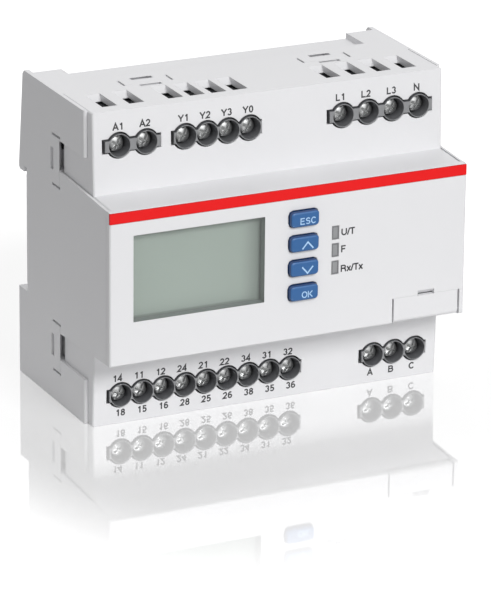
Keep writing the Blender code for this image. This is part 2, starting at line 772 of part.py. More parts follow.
def front_cover():
    """Moulded cover: the nose with its panel, and a hood with openings over each terminal row."""
    hood_half = WIDTH / 2 - LAP
    body = prism("front_cover", hood_outline(0, 0), "X", -hood_half, hood_half, EDGE)
    panel = prism("panel", rectangle((LEFT, RIGHT), (-NOSE_HEIGHT / 2, NOSE_HEIGHT / 2)), "Y",
                  FRONT, PANEL_BACK, EDGE, ("start",))
    fuse(body, panel)
    cavity_half = hood_half - HOOD_WALL
    cut(body, prism("cavity", hood_outline(WALL, CAP_WALL), "X", -cavity_half, cavity_half))

    added = []
    cuts = []
    for side in (-1, 1):
        for row in (-1, 1):
            added += [flat_finger(row, side), finger_root(row, side)]
        added += [side_finger(side, SNAP_HIGH), side_finger(side, -SNAP_LOW)]
    pocket = flap_pocket_span()
    roof = -NOSE_HEIGHT / 2 + FLAP_HEIGHT
    added.append(block("pocket_walls", (pocket[0] - HOOD_WALL, hood_half - HOOD_WALL / 2),
                       (PANEL_BACK - EDGE, display_board_front() - CLEAR),
                       (-NOSE_HEIGHT / 2 + WALL / 2, roof + HOOD_WALL)))
    low = POST_LIFT - NOSE_HEIGHT / 2
    high = NOSE_HEIGHT / 2 - POST_DROP
    for x, z in ((LEFT + POST_MARGIN, low), (RIGHT - POST_RIGHT_MARGIN, low),
                 (LEFT + POST_MARGIN, high), (RIGHT - POST_MARGIN, high)):
        profile = ((0, PANEL_BACK - EDGE), (POST_RADIUS, PANEL_BACK - EDGE),
                   (POST_RADIUS, display_board_front() - CLEAR), (0, display_board_front() - CLEAR))
        added.append(turned("post", "Y", (x, 0, z), profile, 6))
    fuse(body, *added)

    through = (FRONT - BEYOND, PANEL_BACK + CLEAR)
    x, z = display_centre()
    cuts.append(block("display_opening", (x - DISPLAY_WIDTH / 2, x + DISPLAY_WIDTH / 2), through,
                      (z - DISPLAY_HEIGHT / 2, z + DISPLAY_HEIGHT / 2)))
    for _, x, z in key_places():
        outline = rounded_rectangle((x, z), KEY_WIDTH + 2 * CLEAR, KEY_HEIGHT + 2 * CLEAR,
                                    KEY_CORNER + CLEAR)
        cuts.append(prism("key_opening", outline, "Y", *through))
    for x, z in led_places():
        outline = rectangle((x - LED_WIDTH / 2 - INLAY_GAP, x + LED_WIDTH / 2 + INLAY_GAP),
                            (z - LED_HEIGHT / 2 - INLAY_GAP, z + LED_HEIGHT / 2 + INLAY_GAP))
        cuts.append(prism("led_opening", outline, "Y", *through))
    top = NOSE_HEIGHT / 2 - STRIPE_LIP
    cuts.append(block("stripe_groove", (LEFT - BEYOND, RIGHT + BEYOND),
                      (FRONT - BEYOND, FRONT + STRIPE_DEPTH + INLAY_GAP),
                      (top - STRIPE_HEIGHT - INLAY_GAP, top)))
    cuts += flap_cuts()
    for side in (-1, 1):
        for row in (-1, 1):
            x = side * SNAP_X
            z = sorted((shell_edge(row) + row * BEYOND, shell_edge(row) - row * COVER_SLOT_REACH))
            cuts.append(block("snap_slot", (x - SNAP_WIDTH / 2, x + SNAP_WIDTH / 2),
                              (SPLIT - COVER_SLOT_SETBACK, SPLIT - COVER_SLOT_SETBACK + COVER_SLOT), z))
        skin = sorted((side * (hood_half + BEYOND), side * (hood_half - HOOD_WALL)))
        for low, high in ((nose_top(SPLIT), TOP - PAD_HIGH), (BOTTOM + PAD_LOW, -nose_top(SPLIT))):
            cuts.append(block("side_window", skin, (SPLIT - SIDE_WINDOW, SPLIT + BEYOND),
                              (low + CLEAR, high - CLEAR)))
    for group, row, first, pitch, ways in TERMINAL_GROUPS:
        outline = chain_outline(first, pitch, len(ways), terminal_height(row), WELL_RADIUS,
                                WEB_HEIGHT / 2, WEB_LEFT, WEB_RIGHT)
        cuts.append(prism("terminal_opening", outline, "Y", FACE - BEYOND, FACE + FACE_LEAN + WALL + CLEAR))
        for number in range(len(ways)):
            cuts.append(wire_entry(first + number * pitch - ENTRY_SHIFT, row))
    return cut(body, *cuts)


def rim_front(row):
    """Depth of the terminal blocks' front rims."""
    return face_at(terminal_height(row)) - RIM_PROUD


def screw_front(row):
    """Depth of the screw heads' faces."""
    return rim_front(row) + SCREW_SETBACK


def wire_back():
    """Depth of the wire spaces' rear wall, below the inner end of the entries."""
    return FACE + ENTRY_SETBACK + ENTRY_LENGTH - ENTRY_SLOPE


def block_back():
    """Depth of the terminal blocks' rear faces."""
    return wire_back() + BLOCK_REAR


def terminal_bores(x, row):
    """Cutters for one screw's well: a wide bore for the head, a narrow one to the wire space."""
    mouth = rim_front(row) - CLEAR
    shoulder = screw_front(row) + SCREW_HEAD_HEIGHT + CLEAR
    end = wire_back() - WIRE_SPACE / 2
    narrow = SCREW_SHANK + CLEAR
    head = ((0, mouth), (BORE_RADIUS, mouth), (BORE_RADIUS, shoulder), (0, shoulder))
    shank = ((0, shoulder - CLEAR), (narrow, shoulder - CLEAR), (narrow, end), (0, end))
    centre = (x, 0, terminal_height(row))
    return [turned("head_bore", "Y", centre, head, 10), turned("shank_bore", "Y", centre, shank, 6)]


def wire_space(x, row):
    """Cutter for the space a wire is clamped in, with a guide sloping down to it from the entry."""
    far = wire_back()
    near = far - WIRE_SPACE
    top = abs(shell_edge(row)) + BEYOND
    lip = abs(shell_edge(row)) - CAP_WALL - 2 * CLEAR
    guide = abs(terminal_height(row)) + BORE_RADIUS
    floor = abs(terminal_height(row)) - WIRE_DROP
    outline = (
        (far, top),
        (far, floor),
        (near, floor),
        (near, guide),
        (FACE + ENTRY_SETBACK + CLEAR, lip),
        (FACE + ENTRY_SETBACK + CLEAR, top),
    )
    outline = [(y, row * z) for y, z in outline]
    return prism("wire_space", outline, "X", x - WIRE_WIDTH / 2, x + WIRE_WIDTH / 2)


def terminal_block(group, row, first, pitch, ways):
    """Moulded block of clamp terminals with a row of screw wells that show through the cover."""
    last = first + (len(ways) - 1) * pitch
    reach = pitch / 2 + BLOCK_END
    outer = shell_edge(row) - row * (CAP_WALL + CLEAR)
    z = sorted((outer, terminal_height(row) - row * BLOCK_INSET))
    start = FACE + FACE_LEAN + WALL + CLEAR
    body = block("terminal_block_" + group, (first - reach, last + reach), (start, block_back()), z)
    outline = chain_outline(first, pitch, len(ways), terminal_height(row), WELL_RADIUS - RIM_GAP,
                            WEB_HEIGHT / 2 - RIM_GAP, RIM_LEFT, RIM_RIGHT)
    fuse(body, prism("rims", outline, "Y", rim_front(row), start + CLEAR))
    tools = []
    for number in range(len(ways)):
        tools += terminal_bores(first + number * pitch, row)
        tools.append(wire_space(first + number * pitch - ENTRY_SHIFT, row))
    return cut(body, *tools)


def screw_mesh():
    """Clamp screw: round head with a slot and a cross, and a short shank."""
    neck = SCREW_HEAD_HEIGHT
    head = ((0, 0), (SCREW_HEAD, 0), (SCREW_HEAD, neck), (0, neck))
    shank = ((0, neck / 2), (SCREW_SHANK, neck / 2), (SCREW_SHANK, neck + SCREW_SHANK_LENGTH),
             (0, neck + SCREW_SHANK_LENGTH))
    screw = turned("screw", "Y", (0, 0, 0), head, 10)
    fuse(screw, turned("shank", "Y", (0, 0, 0), shank, 6))
    half = SCREW_SLOT / 2
    beyond_head = SCREW_HEAD + BEYOND
    slot = block("slot", (-half, half), (-BEYOND, SLOT_DEPTH), (-beyond_head, beyond_head))
    cross = block("cross", (-CROSS_REACH, CROSS_REACH), (-BEYOND, CROSS_DEPTH), (-half, half))
    cut(screw, slot, cross)
    mesh = screw.data
    bpy.data.objects.remove(screw)
    return mesh


def terminal_screws(finish):
    """One screw for each way, all sharing one mesh."""
    mesh = screw_mesh()
    for way, group, x, z in screw_places():
        screw = bpy.data.objects.new("screw_" + group + "_" + way, mesh)
        screw.location = (x, screw_front(1 if z > 0 else -1), z)
        screw.rotation_euler = (0, SCREW_TURN, 0)
        bpy.context.scene.collection.objects.link(screw)
    dress(screw, finish, smooth=True)


def front_stripe():
    """Coloured strip laid flush in the groove along the nose's upper edge."""
    top = NOSE_HEIGHT / 2 - STRIPE_LIP - INLAY_GAP
    return block("front_stripe", (LEFT + INLAY_GAP, RIGHT - INLAY_GAP), (FRONT, FRONT + STRIPE_DEPTH),
                 (top - STRIPE_HEIGHT + INLAY_GAP, top))


def window_back():
    """Depth of the display window's rear face."""
    return PANEL_BACK + INLAY_GAP + WINDOW_FLANGE_THICKNESS


def display_window():
    """Clear window: a plate that fills the opening and a thin flange behind the panel."""
    x, z = display_centre()
    half_width = DISPLAY_WIDTH / 2 - INLAY_GAP
    half_height = DISPLAY_HEIGHT / 2 - INLAY_GAP
    plate = block("display_window", (x - half_width, x + half_width), (FRONT + INLAY_GAP, window_back()),
                  (z - half_height, z + half_height))
    half_width += WINDOW_FLANGE
    half_height += WINDOW_FLANGE
    flange = block("flange", (x - half_width, x + half_width), (PANEL_BACK + INLAY_GAP, window_back()),
                   (z - half_height, z + half_height))
    return fuse(plate, flange)


def display_bezel():
    """Frame that holds the liquid-crystal glass on the display board."""
    x, z = display_centre()
    front = window_back() + CLEAR
    back = display_board_front() - CLEAR
    half_width = DISPLAY_WIDTH / 2 + WINDOW_FLANGE + BEZEL_WALL
    half_height = DISPLAY_HEIGHT / 2 + WINDOW_FLANGE + BEZEL_WALL
    frame = block("display_bezel", (x - half_width, x + half_width), (front, back),
                  (z - half_height, z + half_height))
    view = block("view", (x - DISPLAY_WIDTH / 2, x + DISPLAY_WIDTH / 2), (front - BEYOND, back + BEYOND),
                 (z - DISPLAY_HEIGHT / 2, z + DISPLAY_HEIGHT / 2))
    half_width -= BEZEL_WALL
    half_height -= BEZEL_WALL
    seat = block("seat", (x - half_width, x + half_width), (front + BEZEL_LIP, back + BEYOND),
                 (z - half_height, z + half_height))
    return cut(frame, view, seat)


def display_glass():
    """Liquid-crystal cell behind the bezel's lip."""
    x, z = display_centre()
    front = window_back() + CLEAR + BEZEL_LIP + INLAY_GAP
    half_width = DISPLAY_WIDTH / 2 + WINDOW_FLANGE - CLEAR
    half_height = DISPLAY_HEIGHT / 2 + WINDOW_FLANGE - CLEAR
    return block("display_glass", (x - half_width, x + half_width), (front, front + GLASS_THICKNESS),
                 (z - half_height, z + half_height))


def light_guide():
    """Clear guide with one rod for each indicator, joined by a bar behind the panel."""
    bar_front = PANEL_BACK + CLEAR
    bar_back = bar_front + GUIDE_BAR
    x, low = led_places()[-1]
    high = led_places()[0][1]
    half = LED_WIDTH / 2
    bar = block("light_guide", (x - half - CLEAR, x + half + CLEAR), (bar_front, bar_back),
                (low - LED_HEIGHT / 2 - CLEAR, high + LED_HEIGHT / 2 + CLEAR))
    rods = []
    for x, z in led_places():
        rods.append(block("rod", (x - half, x + half), (FRONT + INLAY_GAP, display_board_front() - CLEAR),
                          (z - LED_HEIGHT / 2, z + LED_HEIGHT / 2)))
    return fuse(bar, *rods)


def key_cap(name, x, z):
    """Push key: round-cornered cap, a flange that keeps it in the panel and a stem to its switch."""
    cap = prism(name, rounded_rectangle((0, 0), KEY_WIDTH, KEY_HEIGHT, KEY_CORNER), "Y",
                -KEY_PROUD, PANEL + 2 * CLEAR, EDGE, ("start",), 2)
    flange_front = PANEL + CLEAR
    width = KEY_WIDTH + 2 * (CLEAR + KEY_FLANGE)
    height = KEY_HEIGHT + 2 * (CLEAR + KEY_FLANGE)
    flange = block("flange", (-width / 2, width / 2), (flange_front, flange_front + KEY_FLANGE_THICKNESS),
                   (-height / 2, height / 2))
    stem_end = BOARD_SETBACK - CLEAR - SWITCH_HEIGHT - KEY_TRAVEL - INLAY_GAP
    stem = block("stem", (-STEM_WIDTH / 2, STEM_WIDTH / 2), (flange_front + EDGE, stem_end),
                 (-STEM_HEIGHT / 2, STEM_HEIGHT / 2))
    fuse(cap, flange, stem)
    cap.location = (x, FRONT, z)
    return cap


def key_switch(name, x, z):
    """Small push switch on the display board behind a key."""
    back = display_board_front() - CLEAR
    half = SWITCH_SIZE / 2
    body = block(name, (x - half, x + half), (back - SWITCH_HEIGHT + 2 * INLAY_GAP, back),
                 (z - half, z + half))
    profile = ((0, back - SWITCH_HEIGHT), (PLUNGER_RADIUS, back - SWITCH_HEIGHT),
               (PLUNGER_RADIUS, back - INLAY_GAP), (0, back - INLAY_GAP))
    return fuse(body, turned("plunger", "Y", (x, 0, z), profile, 8))


def display_board():
    """Circuit board behind the nose's panel."""
    front = display_board_front()
    half = WIDTH / 2 - LAP - HOOD_WALL - CLEAR
    height = NOSE_HEIGHT / 2 - WALL - CLEAR
    return block("display_board", (-half, half), (front, front + BOARD), (-height, height))


def main_board():
    """Circuit board that carries the terminal blocks, the supply and the output relays."""
    front = block_back() + CLEAR
    half = WIDTH / 2 - BOARD_MARGIN
    return block("main_board", (-half, half), (front, front + BOARD),
                 (BOTTOM + BOARD_HEIGHT_MARGIN, TOP - BOARD_HEIGHT_MARGIN))


def output_relay(number):
    """Sealed changeover relay behind the main board, over the output terminals."""
    room = WIDTH - 2 * (BOARD_MARGIN + RELAY_MARGIN)
    length = (room - 2 * RELAY_GAP) / 3
    x = (number - 2) * (length + RELAY_GAP)
    z = BOTTOM + RELAY_LIFT
    front = board_back() + CLEAR
    return block("output_relay_" + str(number), (x - length / 2, x + length / 2),
                 (front, front + RELAY_DEPTH), (z - RELAY_HEIGHT / 2, z + RELAY_HEIGHT / 2))


def supply_transformer():
    """Supply transformer: laminated core with its coil standing out of both sides."""
    x = LEFT + TRANSFORMER_LEFT
    z = NOSE_HEIGHT / 2 - TRANSFORMER_DROP
    front = display_board_front() + BOARD + CLEAR
    back = block_back()
    half_width = TRANSFORMER_WIDTH / 2
    half_height = TRANSFORMER_HEIGHT / 2
    core = block("supply_transformer", (x - half_width, x + half_width),
                 (front + COIL_MARGIN, back), (z - half_height, z + half_height))
    coil = prism("coil", rounded_rectangle((x, z), TRANSFORMER_WIDTH - 2 * COIL_MARGIN,
                                           TRANSFORMER_HEIGHT + COIL_MARGIN, COIL_MARGIN), "Y",
                 front, back - COIL_MARGIN)
    return fuse(core, coil)


def supply_capacitor():
    """Round reservoir capacitor standing on the main board."""
    back = block_back()
    groove = CAPACITOR_GROOVE
    start = back - CAPACITOR_LENGTH
    centre = (LEFT + CAPACITOR_LEFT, 0, NOSE_HEIGHT / 2 - CAPACITOR_DROP)
    profile = (
        (0, start),
        (CAPACITOR_RADIUS - groove, start),
        (CAPACITOR_RADIUS, start + groove),
        (CAPACITOR_RADIUS, back - 4 * groove),
        (CAPACITOR_RADIUS - groove, back - 3 * groove),
        (CAPACITOR_RADIUS, back - 2 * groove),
        (CAPACITOR_RADIUS, back),
        (0, back),
    )
    return turned("supply_capacitor", "Y", centre, profile, 12)


def board_link():
    """Pin strip that joins the display board to the main board."""
    x = RIGHT - LINK_RIGHT
    z = NOSE_HEIGHT / 2 - LINK_DROP
    front = display_board_front() + BOARD + CLEAR
    return block("board_link", (x - LINK_WIDTH / 2, x + LINK_WIDTH / 2), (front, block_back()),
                 (z - LINK_HEIGHT / 2, z + LINK_HEIGHT / 2))


def service_header():
    """Pin header on the display board behind the flap."""
    x = flap_pocket_span()[0] + HEADER_MARGIN + HEADER_WIDTH / 2
    bottom = -NOSE_HEIGHT / 2
    z = bottom + (WALL - 2 * CLEAR + FLAP_HEIGHT) / 2
    back = display_board_front() - CLEAR
    body = block("service_header", (x - HEADER_WIDTH / 2, x + HEADER_WIDTH / 2),
                 (back - HEADER_THICKNESS, back), (z - HEADER_HEIGHT / 2, z + HEADER_HEIGHT / 2))
    pins = []
    for column in (-1, 0, 1):
        for row in (-1, 1):
            centre = (x + column * HEADER_WIDTH / 3, z + row * HEADER_HEIGHT / 4)
            half = HEADER_PIN / 2
            pins.append(block("pin", (centre[0] - half, centre[0] + half),
                              (back - HEADER_THICKNESS - HEADER_PIN_REACH, back - HEADER_THICKNESS / 2),
                              (centre[1] - half, centre[1] + half)))
    return fuse(body, *pins)


def service_flap():
    """Hinged flap flush in the nose's lower corner, turning on a barrel along its lower edge."""
    left, right = flap_span()
    axis_y, axis_z = flap_axis()
    x = (left + right) / 2
    half = (right - left) / 2 - SEAM
    top = -NOSE_HEIGHT / 2 + FLAP_HEIGHT - axis_z - SEAM
    barrel = arc((0, 0), FLAP_BARREL, 180, 360, 6)
    outline = [(-FLAP_BARREL, top)] + barrel + [(FLAP_THICKNESS - FLAP_BARREL, FLAP_BARREL),
                                               (FLAP_THICKNESS - FLAP_BARREL, top)]
    flap = prism("service_flap", outline, "X", -half, half)
    pin = ((0, -half - FLAP_PIN_LENGTH), (FLAP_PIN, -half - FLAP_PIN_LENGTH),
           (FLAP_PIN, half + FLAP_PIN_LENGTH), (0, half + FLAP_PIN_LENGTH))
    fuse(flap, turned("pin", "X", (0, 0, 0), pin, 8))
    flap.location = (x, axis_y, axis_z)
    return flap


def rail_latch(name, side):
    """Sliding latch in a leg: sprung up behind the rail's lower edge, with an eye at its lower end."""
    half = LATCH_WIDTH / 2
    wide = half + LATCH_FLANGE
    low = LATCH_LIFT
    leg_top = RAIL_CENTRE - RAIL_HEIGHT / 2 - LEG_PLAY
    nose_front = RAIL_GRIP - latch_front()
    nose_top_z = leg_top + LEG_PLAY + LATCH_NOSE
    back = LATCH_THICKNESS
    outline = (
        (0, low),
        (back, low),
        (back, leg_top),
        (nose_front + CLEAR, nose_top_z),
        (nose_front, nose_top_z),
        (nose_front, leg_top - CLEAR),
        (0, leg_top - CLEAR),
    )
    body = prism(name, outline, "X", -half, half)
    flange = block("flange", (-wide, wide), (0, LATCH_FLANGE_THICKNESS), (low, leg_top - CLEAR))
    fuse(body, flange)
    window_low = STOP_RAISE - CLEAR
    window_high = STOP_RAISE + STOP_HEIGHT + SPRING_LENGTH + 2 * CLEAR
    window = block("window", (-STOP_WIDTH / 2 - CLEAR, STOP_WIDTH / 2 + CLEAR), (-BEYOND, back + BEYOND),
                   (window_low, window_high))
    eye_low = low + WALL / 2
    eye = block("eye", (-EYE_WIDTH / 2, EYE_WIDTH / 2), (-BEYOND, back + BEYOND),
                (eye_low, eye_low + EYE_HEIGHT))
    cut(body, window, eye)
    body.location = (side * LATCH_X, latch_front(), BOTTOM)
    return body


def latch_spring(name, side):
    """Compression spring between a leg's stop and the top of the latch's window."""
    base = BOTTOM + STOP_RAISE + STOP_HEIGHT + CLEAR + SPRING_WIRE
    rise = SPRING_LENGTH - 2 * SPRING_WIRE
    steps_per_turn = 6
    count = SPRING_TURNS * steps_per_turn
    curve = bpy.data.curves.new(name, "CURVE")
    curve.dimensions = "3D"
    curve.bevel_depth = SPRING_WIRE
    curve.bevel_resolution = 0
    curve.use_fill_caps = True
    line = curve.splines.new("POLY")
    line.points.add(count)
    for step in range(count + 1):
        angle = math.tau * step / steps_per_turn
        height = base + rise * step / count
        line.points[step].co = (SPRING_RADIUS * math.cos(angle), SPRING_RADIUS * math.sin(angle), height, 1)
    spring = bpy.data.objects.new(name, curve)
    spring.location = (side * LATCH_X, latch_front() + LATCH_THICKNESS / 2, 0)
    bpy.context.scene.collection.objects.link(spring)
    return spring


def build():
    """Make every piece with its finish."""
    clear_scene()
    light_grey = material("light_grey_plastic", (0.80, 0.80, 0.81), 0.45)
    red = material("red_plastic", (0.82, 0.03, 0.03), 0.4)
    blue = material("blue_keys", (0.03, 0.14, 0.38), 0.4)
    dark_grey = material("dark_grey_plastic", (0.16, 0.16, 0.16), 0.5)
    clear = material("clear_plastic", (0.85, 0.9, 0.88), 0.1, alpha=0.35)
    guide_grey = material("smoke_light_guide", (0.32, 0.32, 0.32), 0.3)
    glass = material("display_glass", (0.36, 0.44, 0.38), 0.2)
    green = material("circuit_board", (0.02, 0.16, 0.06), 0.5)
    steel = material("zinc_plated_steel", (0.62, 0.62, 0.60), 0.3, 1.0)
    black = material("black_plastic", (0.03, 0.03, 0.03), 0.5)
    case_blue = material("relay_case", (0.05, 0.10, 0.20), 0.45)
    core = material("laminated_core", (0.20, 0.19, 0.18), 0.5, 0.6)

    dress(rear_housing(), light_grey)
    dress(front_cover(), light_grey)
    dress(front_stripe(), red)
    dress(display_window(), clear)
    dress(display_bezel(), dark_grey)
    dress(display_glass(), glass)
    dress(light_guide(), guide_grey)
    for name, x, z in key_places():
        dress(key_cap(name, x, z), blue)
        dress(key_switch(name.replace("key_", "key_switch_"), x, z), black)
    for group, row, first, pitch, ways in TERMINAL_GROUPS:
        dress(terminal_block(group, row, first, pitch, ways), dark_grey)
    terminal_screws(steel)
    dress(display_board(), green)
    dress(main_board(), green)
    for number in (1, 2, 3):
        dress(output_relay(number), case_blue)
    dress(supply_transformer(), core)
    dress(supply_capacitor(), black, smooth=True)
    dress(board_link(), black)
    dress(service_header(), black)
    dress(service_flap(), light_grey)
    for hand, side in (("left", -1), ("right", 1)):
        dress(rail_latch("rail_latch_" + hand, side), dark_grey)
        dress_spring = latch_spring("latch_spring_" + hand, side)
        dress_spring.data.materials.append(steel)


build()
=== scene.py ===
"""Looks of a six-module voltage monitoring relay that stands upright on a pale floor.

Metres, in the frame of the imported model: +X along the rail, +Y out of the back, +Z up.
"""

import math

import bmesh
import bpy
from mathutils import Matrix, Vector


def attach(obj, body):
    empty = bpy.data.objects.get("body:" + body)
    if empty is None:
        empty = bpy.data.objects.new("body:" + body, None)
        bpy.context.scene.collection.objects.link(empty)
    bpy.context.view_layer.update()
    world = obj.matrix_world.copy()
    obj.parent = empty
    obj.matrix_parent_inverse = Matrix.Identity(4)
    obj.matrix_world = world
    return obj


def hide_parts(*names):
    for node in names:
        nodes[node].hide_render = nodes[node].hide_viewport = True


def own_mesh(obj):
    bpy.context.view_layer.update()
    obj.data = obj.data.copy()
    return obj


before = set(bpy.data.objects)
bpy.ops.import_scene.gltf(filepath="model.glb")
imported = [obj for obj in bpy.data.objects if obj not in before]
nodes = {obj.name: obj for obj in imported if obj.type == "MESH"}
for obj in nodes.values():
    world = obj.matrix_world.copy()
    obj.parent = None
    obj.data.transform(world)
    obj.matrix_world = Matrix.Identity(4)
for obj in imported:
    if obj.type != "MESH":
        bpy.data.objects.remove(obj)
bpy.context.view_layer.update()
MM = 0.001


# Rear housing
# The base that snaps onto the rail: one moulding of light grey polycarbonate with the hook, the legs
# and the two side walls. Its tool is spark eroded, so the plastic comes out with a fine even matt grain.

GRAIN = 0.30 * MM
GRAIN_DEPTH = 0.012 * MM
CLOUD = 30 * MM
CLOUD_TINT = 0.03
EDGE_RADIUS = 0.25 * MM
CLOSED_EDGE = 0.01 * MM
TOUCH = 0.01 * MM
LIGHT_GREY = "E8E8EA"
HOOD_HALF = 52.93 * MM
LIP = 0.28 * MM
SEAM = 0.01 * MM
PAD_FRONT = -40.1 * MM
SPLIT = -23.2 * MM
TOP = 45.7 * MM
BOTTOM = -44.3 * MM
TOP_WALL = 1.6 * MM
UPPER_PAD = (32.4 * MM, TOP)
LOWER_PAD = (BOTTOM, -31.3 * MM)
SNAP_X = 27.3 * MM
TONGUE_HALF = 7.6 * MM
BAND = 0.6 * MM
SIDE_TONGUES = ((26.0 * MM, 23.9 * MM, 32.1 * MM), (-28.3 * MM, -31.0 * MM, -23.9 * MM))
TONGUE_EDGE = 7.2 * MM
POCKET_WALL = (52.0 * MM, 53.88 * MM)
POCKET_DEPTH = (SPLIT - 0.2 * MM, SPLIT + 3.0 * MM)
GROOVE_WALL = (53.6 * MM, 54.5 * MM)
GROOVE_DEPTH = (SPLIT - 0.08 * MM, SPLIT + 0.08 * MM)
SNAP_HALF = 3.2 * MM
SLOT_UNDERCUT = (-17.3 * MM, -14.8 * MM)
SKIN = 0.12 * MM


def linear(colour):
    """Turn an sRGB hex colour to linear with full opacity."""
    parts = [int(colour[i:i + 2], 16) / 255 for i in (0, 2, 4)]
    return (*[p / 12.92 if p <= 0.04045 else ((p + 0.055) / 1.055) ** 2.4 for p in parts], 1.0)


def add_node(tree, kind, settings=(), links=()):
    """Add a node: settings are (property or socket, value) pairs, links are (socket, source) pairs."""
    node = tree.nodes.new(kind)
    for name, value in settings:
        if isinstance(name, str) and hasattr(node, name):
            setattr(node, name, value)
        else:
            node.inputs[name].default_value = value
    for name, source in links:
        tree.links.new(source, node.inputs[name])
    return node


def new_finish(name):
    """A new material, its node tree, its shader and the place on the piece that its patterns follow."""
    finish = bpy.data.materials.new(name)
    finish.use_nodes = True
    tree = finish.node_tree
    place = add_node(tree, "ShaderNodeTexCoord").outputs["Object"]
    return finish, tree, tree.nodes["Principled BSDF"], place


def scaled(colour, share):
    """A colour at a share of its strength, with full opacity."""
    return tuple(min(part * share, 1.0) for part in colour[:3]) + (1.0,)


def moulded_plastic(name, colour, roughness, depth=GRAIN_DEPTH, edge_radius=EDGE_RADIUS):
    """Injection-moulded plastic: eroded grain in the surface, faint clouding in colour and gloss."""
    finish, tree, shader, place = new_finish(name)
    cloud = add_node(tree, "ShaderNodeTexNoise", [("Scale", 1 / CLOUD), ("Detail", 3.0)],
                     [("Vector", place)])
    speckle = add_node(tree, "ShaderNodeTexNoise", [("Scale", 1 / GRAIN), ("Detail", 2.0)],
                       [("Vector", place)])
    pale = linear(colour)
    shade = add_node(tree, "ShaderNodeMix",
                     [("data_type", "RGBA"), (6, scaled(pale, 1 - CLOUD_TINT)), (7, pale)],
                     [(0, cloud.outputs["Fac"])])
    gloss = add_node(tree, "ShaderNodeMapRange",
                     [("To Min", roughness - 0.04), ("To Max", roughness + 0.04)],
                     [("Value", speckle.outputs["Fac"])])
    edge = add_node(tree, "ShaderNodeBevel", [("samples", 6), ("Radius", edge_radius)])
    bump = add_node(tree, "ShaderNodeBump", [("Strength", 0.35), ("Distance", depth)],
                    [("Height", speckle.outputs["Fac"]), ("Normal", edge.outputs["Normal"])])
    tree.links.new(shade.outputs[2], shader.inputs["Base Color"])
    tree.links.new(gloss.outputs["Result"], shader.inputs["Roughness"])
    tree.links.new(bump.outputs["Normal"], shader.inputs["Normal"])
    shader.inputs["IOR"].default_value = 1.58
    return finish


def coat(piece, finish):
    """Give a piece one material in place of all its slots."""
    piece.data.materials.clear()
    piece.data.materials.append(finish)
    return piece


def smooth_rounds(piece, angle=38):
    """Shade a piece smooth across its rounds, sharp at its corners and even over its flat faces."""
    carried = piece.data.attributes.get("custom_normal")
    if carried:
        piece.data.attributes.remove(carried)
    shape = bmesh.new()
    shape.from_mesh(piece.data)
    for face in shape.faces:
        face.smooth = True
    for edge in shape.edges:
        edge.smooth = edge.calc_face_angle(0) < math.radians(angle)
    shape.to_mesh(piece.data)
    shape.free()
    evened = piece.modifiers.new("even_faces", "WEIGHTED_NORMAL")
    evened.keep_sharp = True
    return piece


def add_piece(name, shape):
    """Turn a bmesh into a named object."""
    bmesh.ops.recalc_face_normals(shape, faces=shape.faces)
    mesh = bpy.data.meshes.new(name)
    shape.to_mesh(mesh)
    shape.free()
    piece = bpy.data.objects.new(name, mesh)
    bpy.context.scene.collection.objects.link(piece)
    return piece


def refined(node, name):
    """A new piece with a CAD node's shape, its triangles joined to whole flat faces."""
    shape = bmesh.new()
    shape.from_mesh(nodes[node].data)
    bmesh.ops.remove_doubles(shape, verts=shape.verts, dist=0.0005 * MM)
    bmesh.ops.dissolve_limit(shape, angle_limit=math.radians(0.5), verts=shape.verts, edges=shape.edges)
    return add_piece(name, shape)


def prism(name, outline, start, end):
    """Extrude an outline in X and Z from one depth to another."""
    shape = bmesh.new()
    face = shape.faces.new([shape.verts.new((x, start, z)) for x, z in outline])
    swept = bmesh.ops.extrude_face_region(shape, geom=[face])
    moved = [item for item in swept["geom"] if isinstance(item, bmesh.types.BMVert)]
    bmesh.ops.translate(shape, verts=moved, vec=(0, end - start, 0))
    return add_piece(name, shape)


def slab(name, x, y, z):
    """A box between three ranges, joined to a piece or cut out of it."""
    return prism(name, ((x[0], z[0]), (x[1], z[0]), (x[1], z[1]), (x[0], z[1])), y[0], y[1])


def on_side(side, span):
    """A range of widths on the left side (-1) or the right side (1)."""
    return sorted(side * end for end in span)


def combine(piece, tools, operation):
    """Run an exact boolean for each tool on a piece and clear the tools away."""
    for tool in tools:
        step = piece.modifiers.new(operation, "BOOLEAN")
        step.operation = operation
        step.solver = "EXACT"
        step.object = tool
    graph = bpy.context.evaluated_depsgraph_get()
    result = bpy.data.meshes.new_from_object(piece.evaluated_get(graph))
    piece.modifiers.clear()
    piece.data = result
    for tool in tools:
        bpy.data.objects.remove(tool)
    return piece


def flush_band(piece):
    """Give the strips of the top on both sides of the seam a finish without rounded edges."""
    shape = bmesh.new()
    shape.from_mesh(piece.data)
    for depth in (SPLIT - BAND, SPLIT + BAND):
        bmesh.ops.bisect_plane(shape, geom=shape.verts[:] + shape.edges[:] + shape.faces[:],
                               plane_co=(0, depth, 0), plane_no=(0, 1, 0))
    for face in shape.faces:
        middle = face.calc_center_median()
        if abs(middle.z - TOP) < TOUCH and abs(middle.y - SPLIT) < BAND:
            face.material_index = 1
    shape.to_mesh(piece.data)
    shape.free()
    return piece


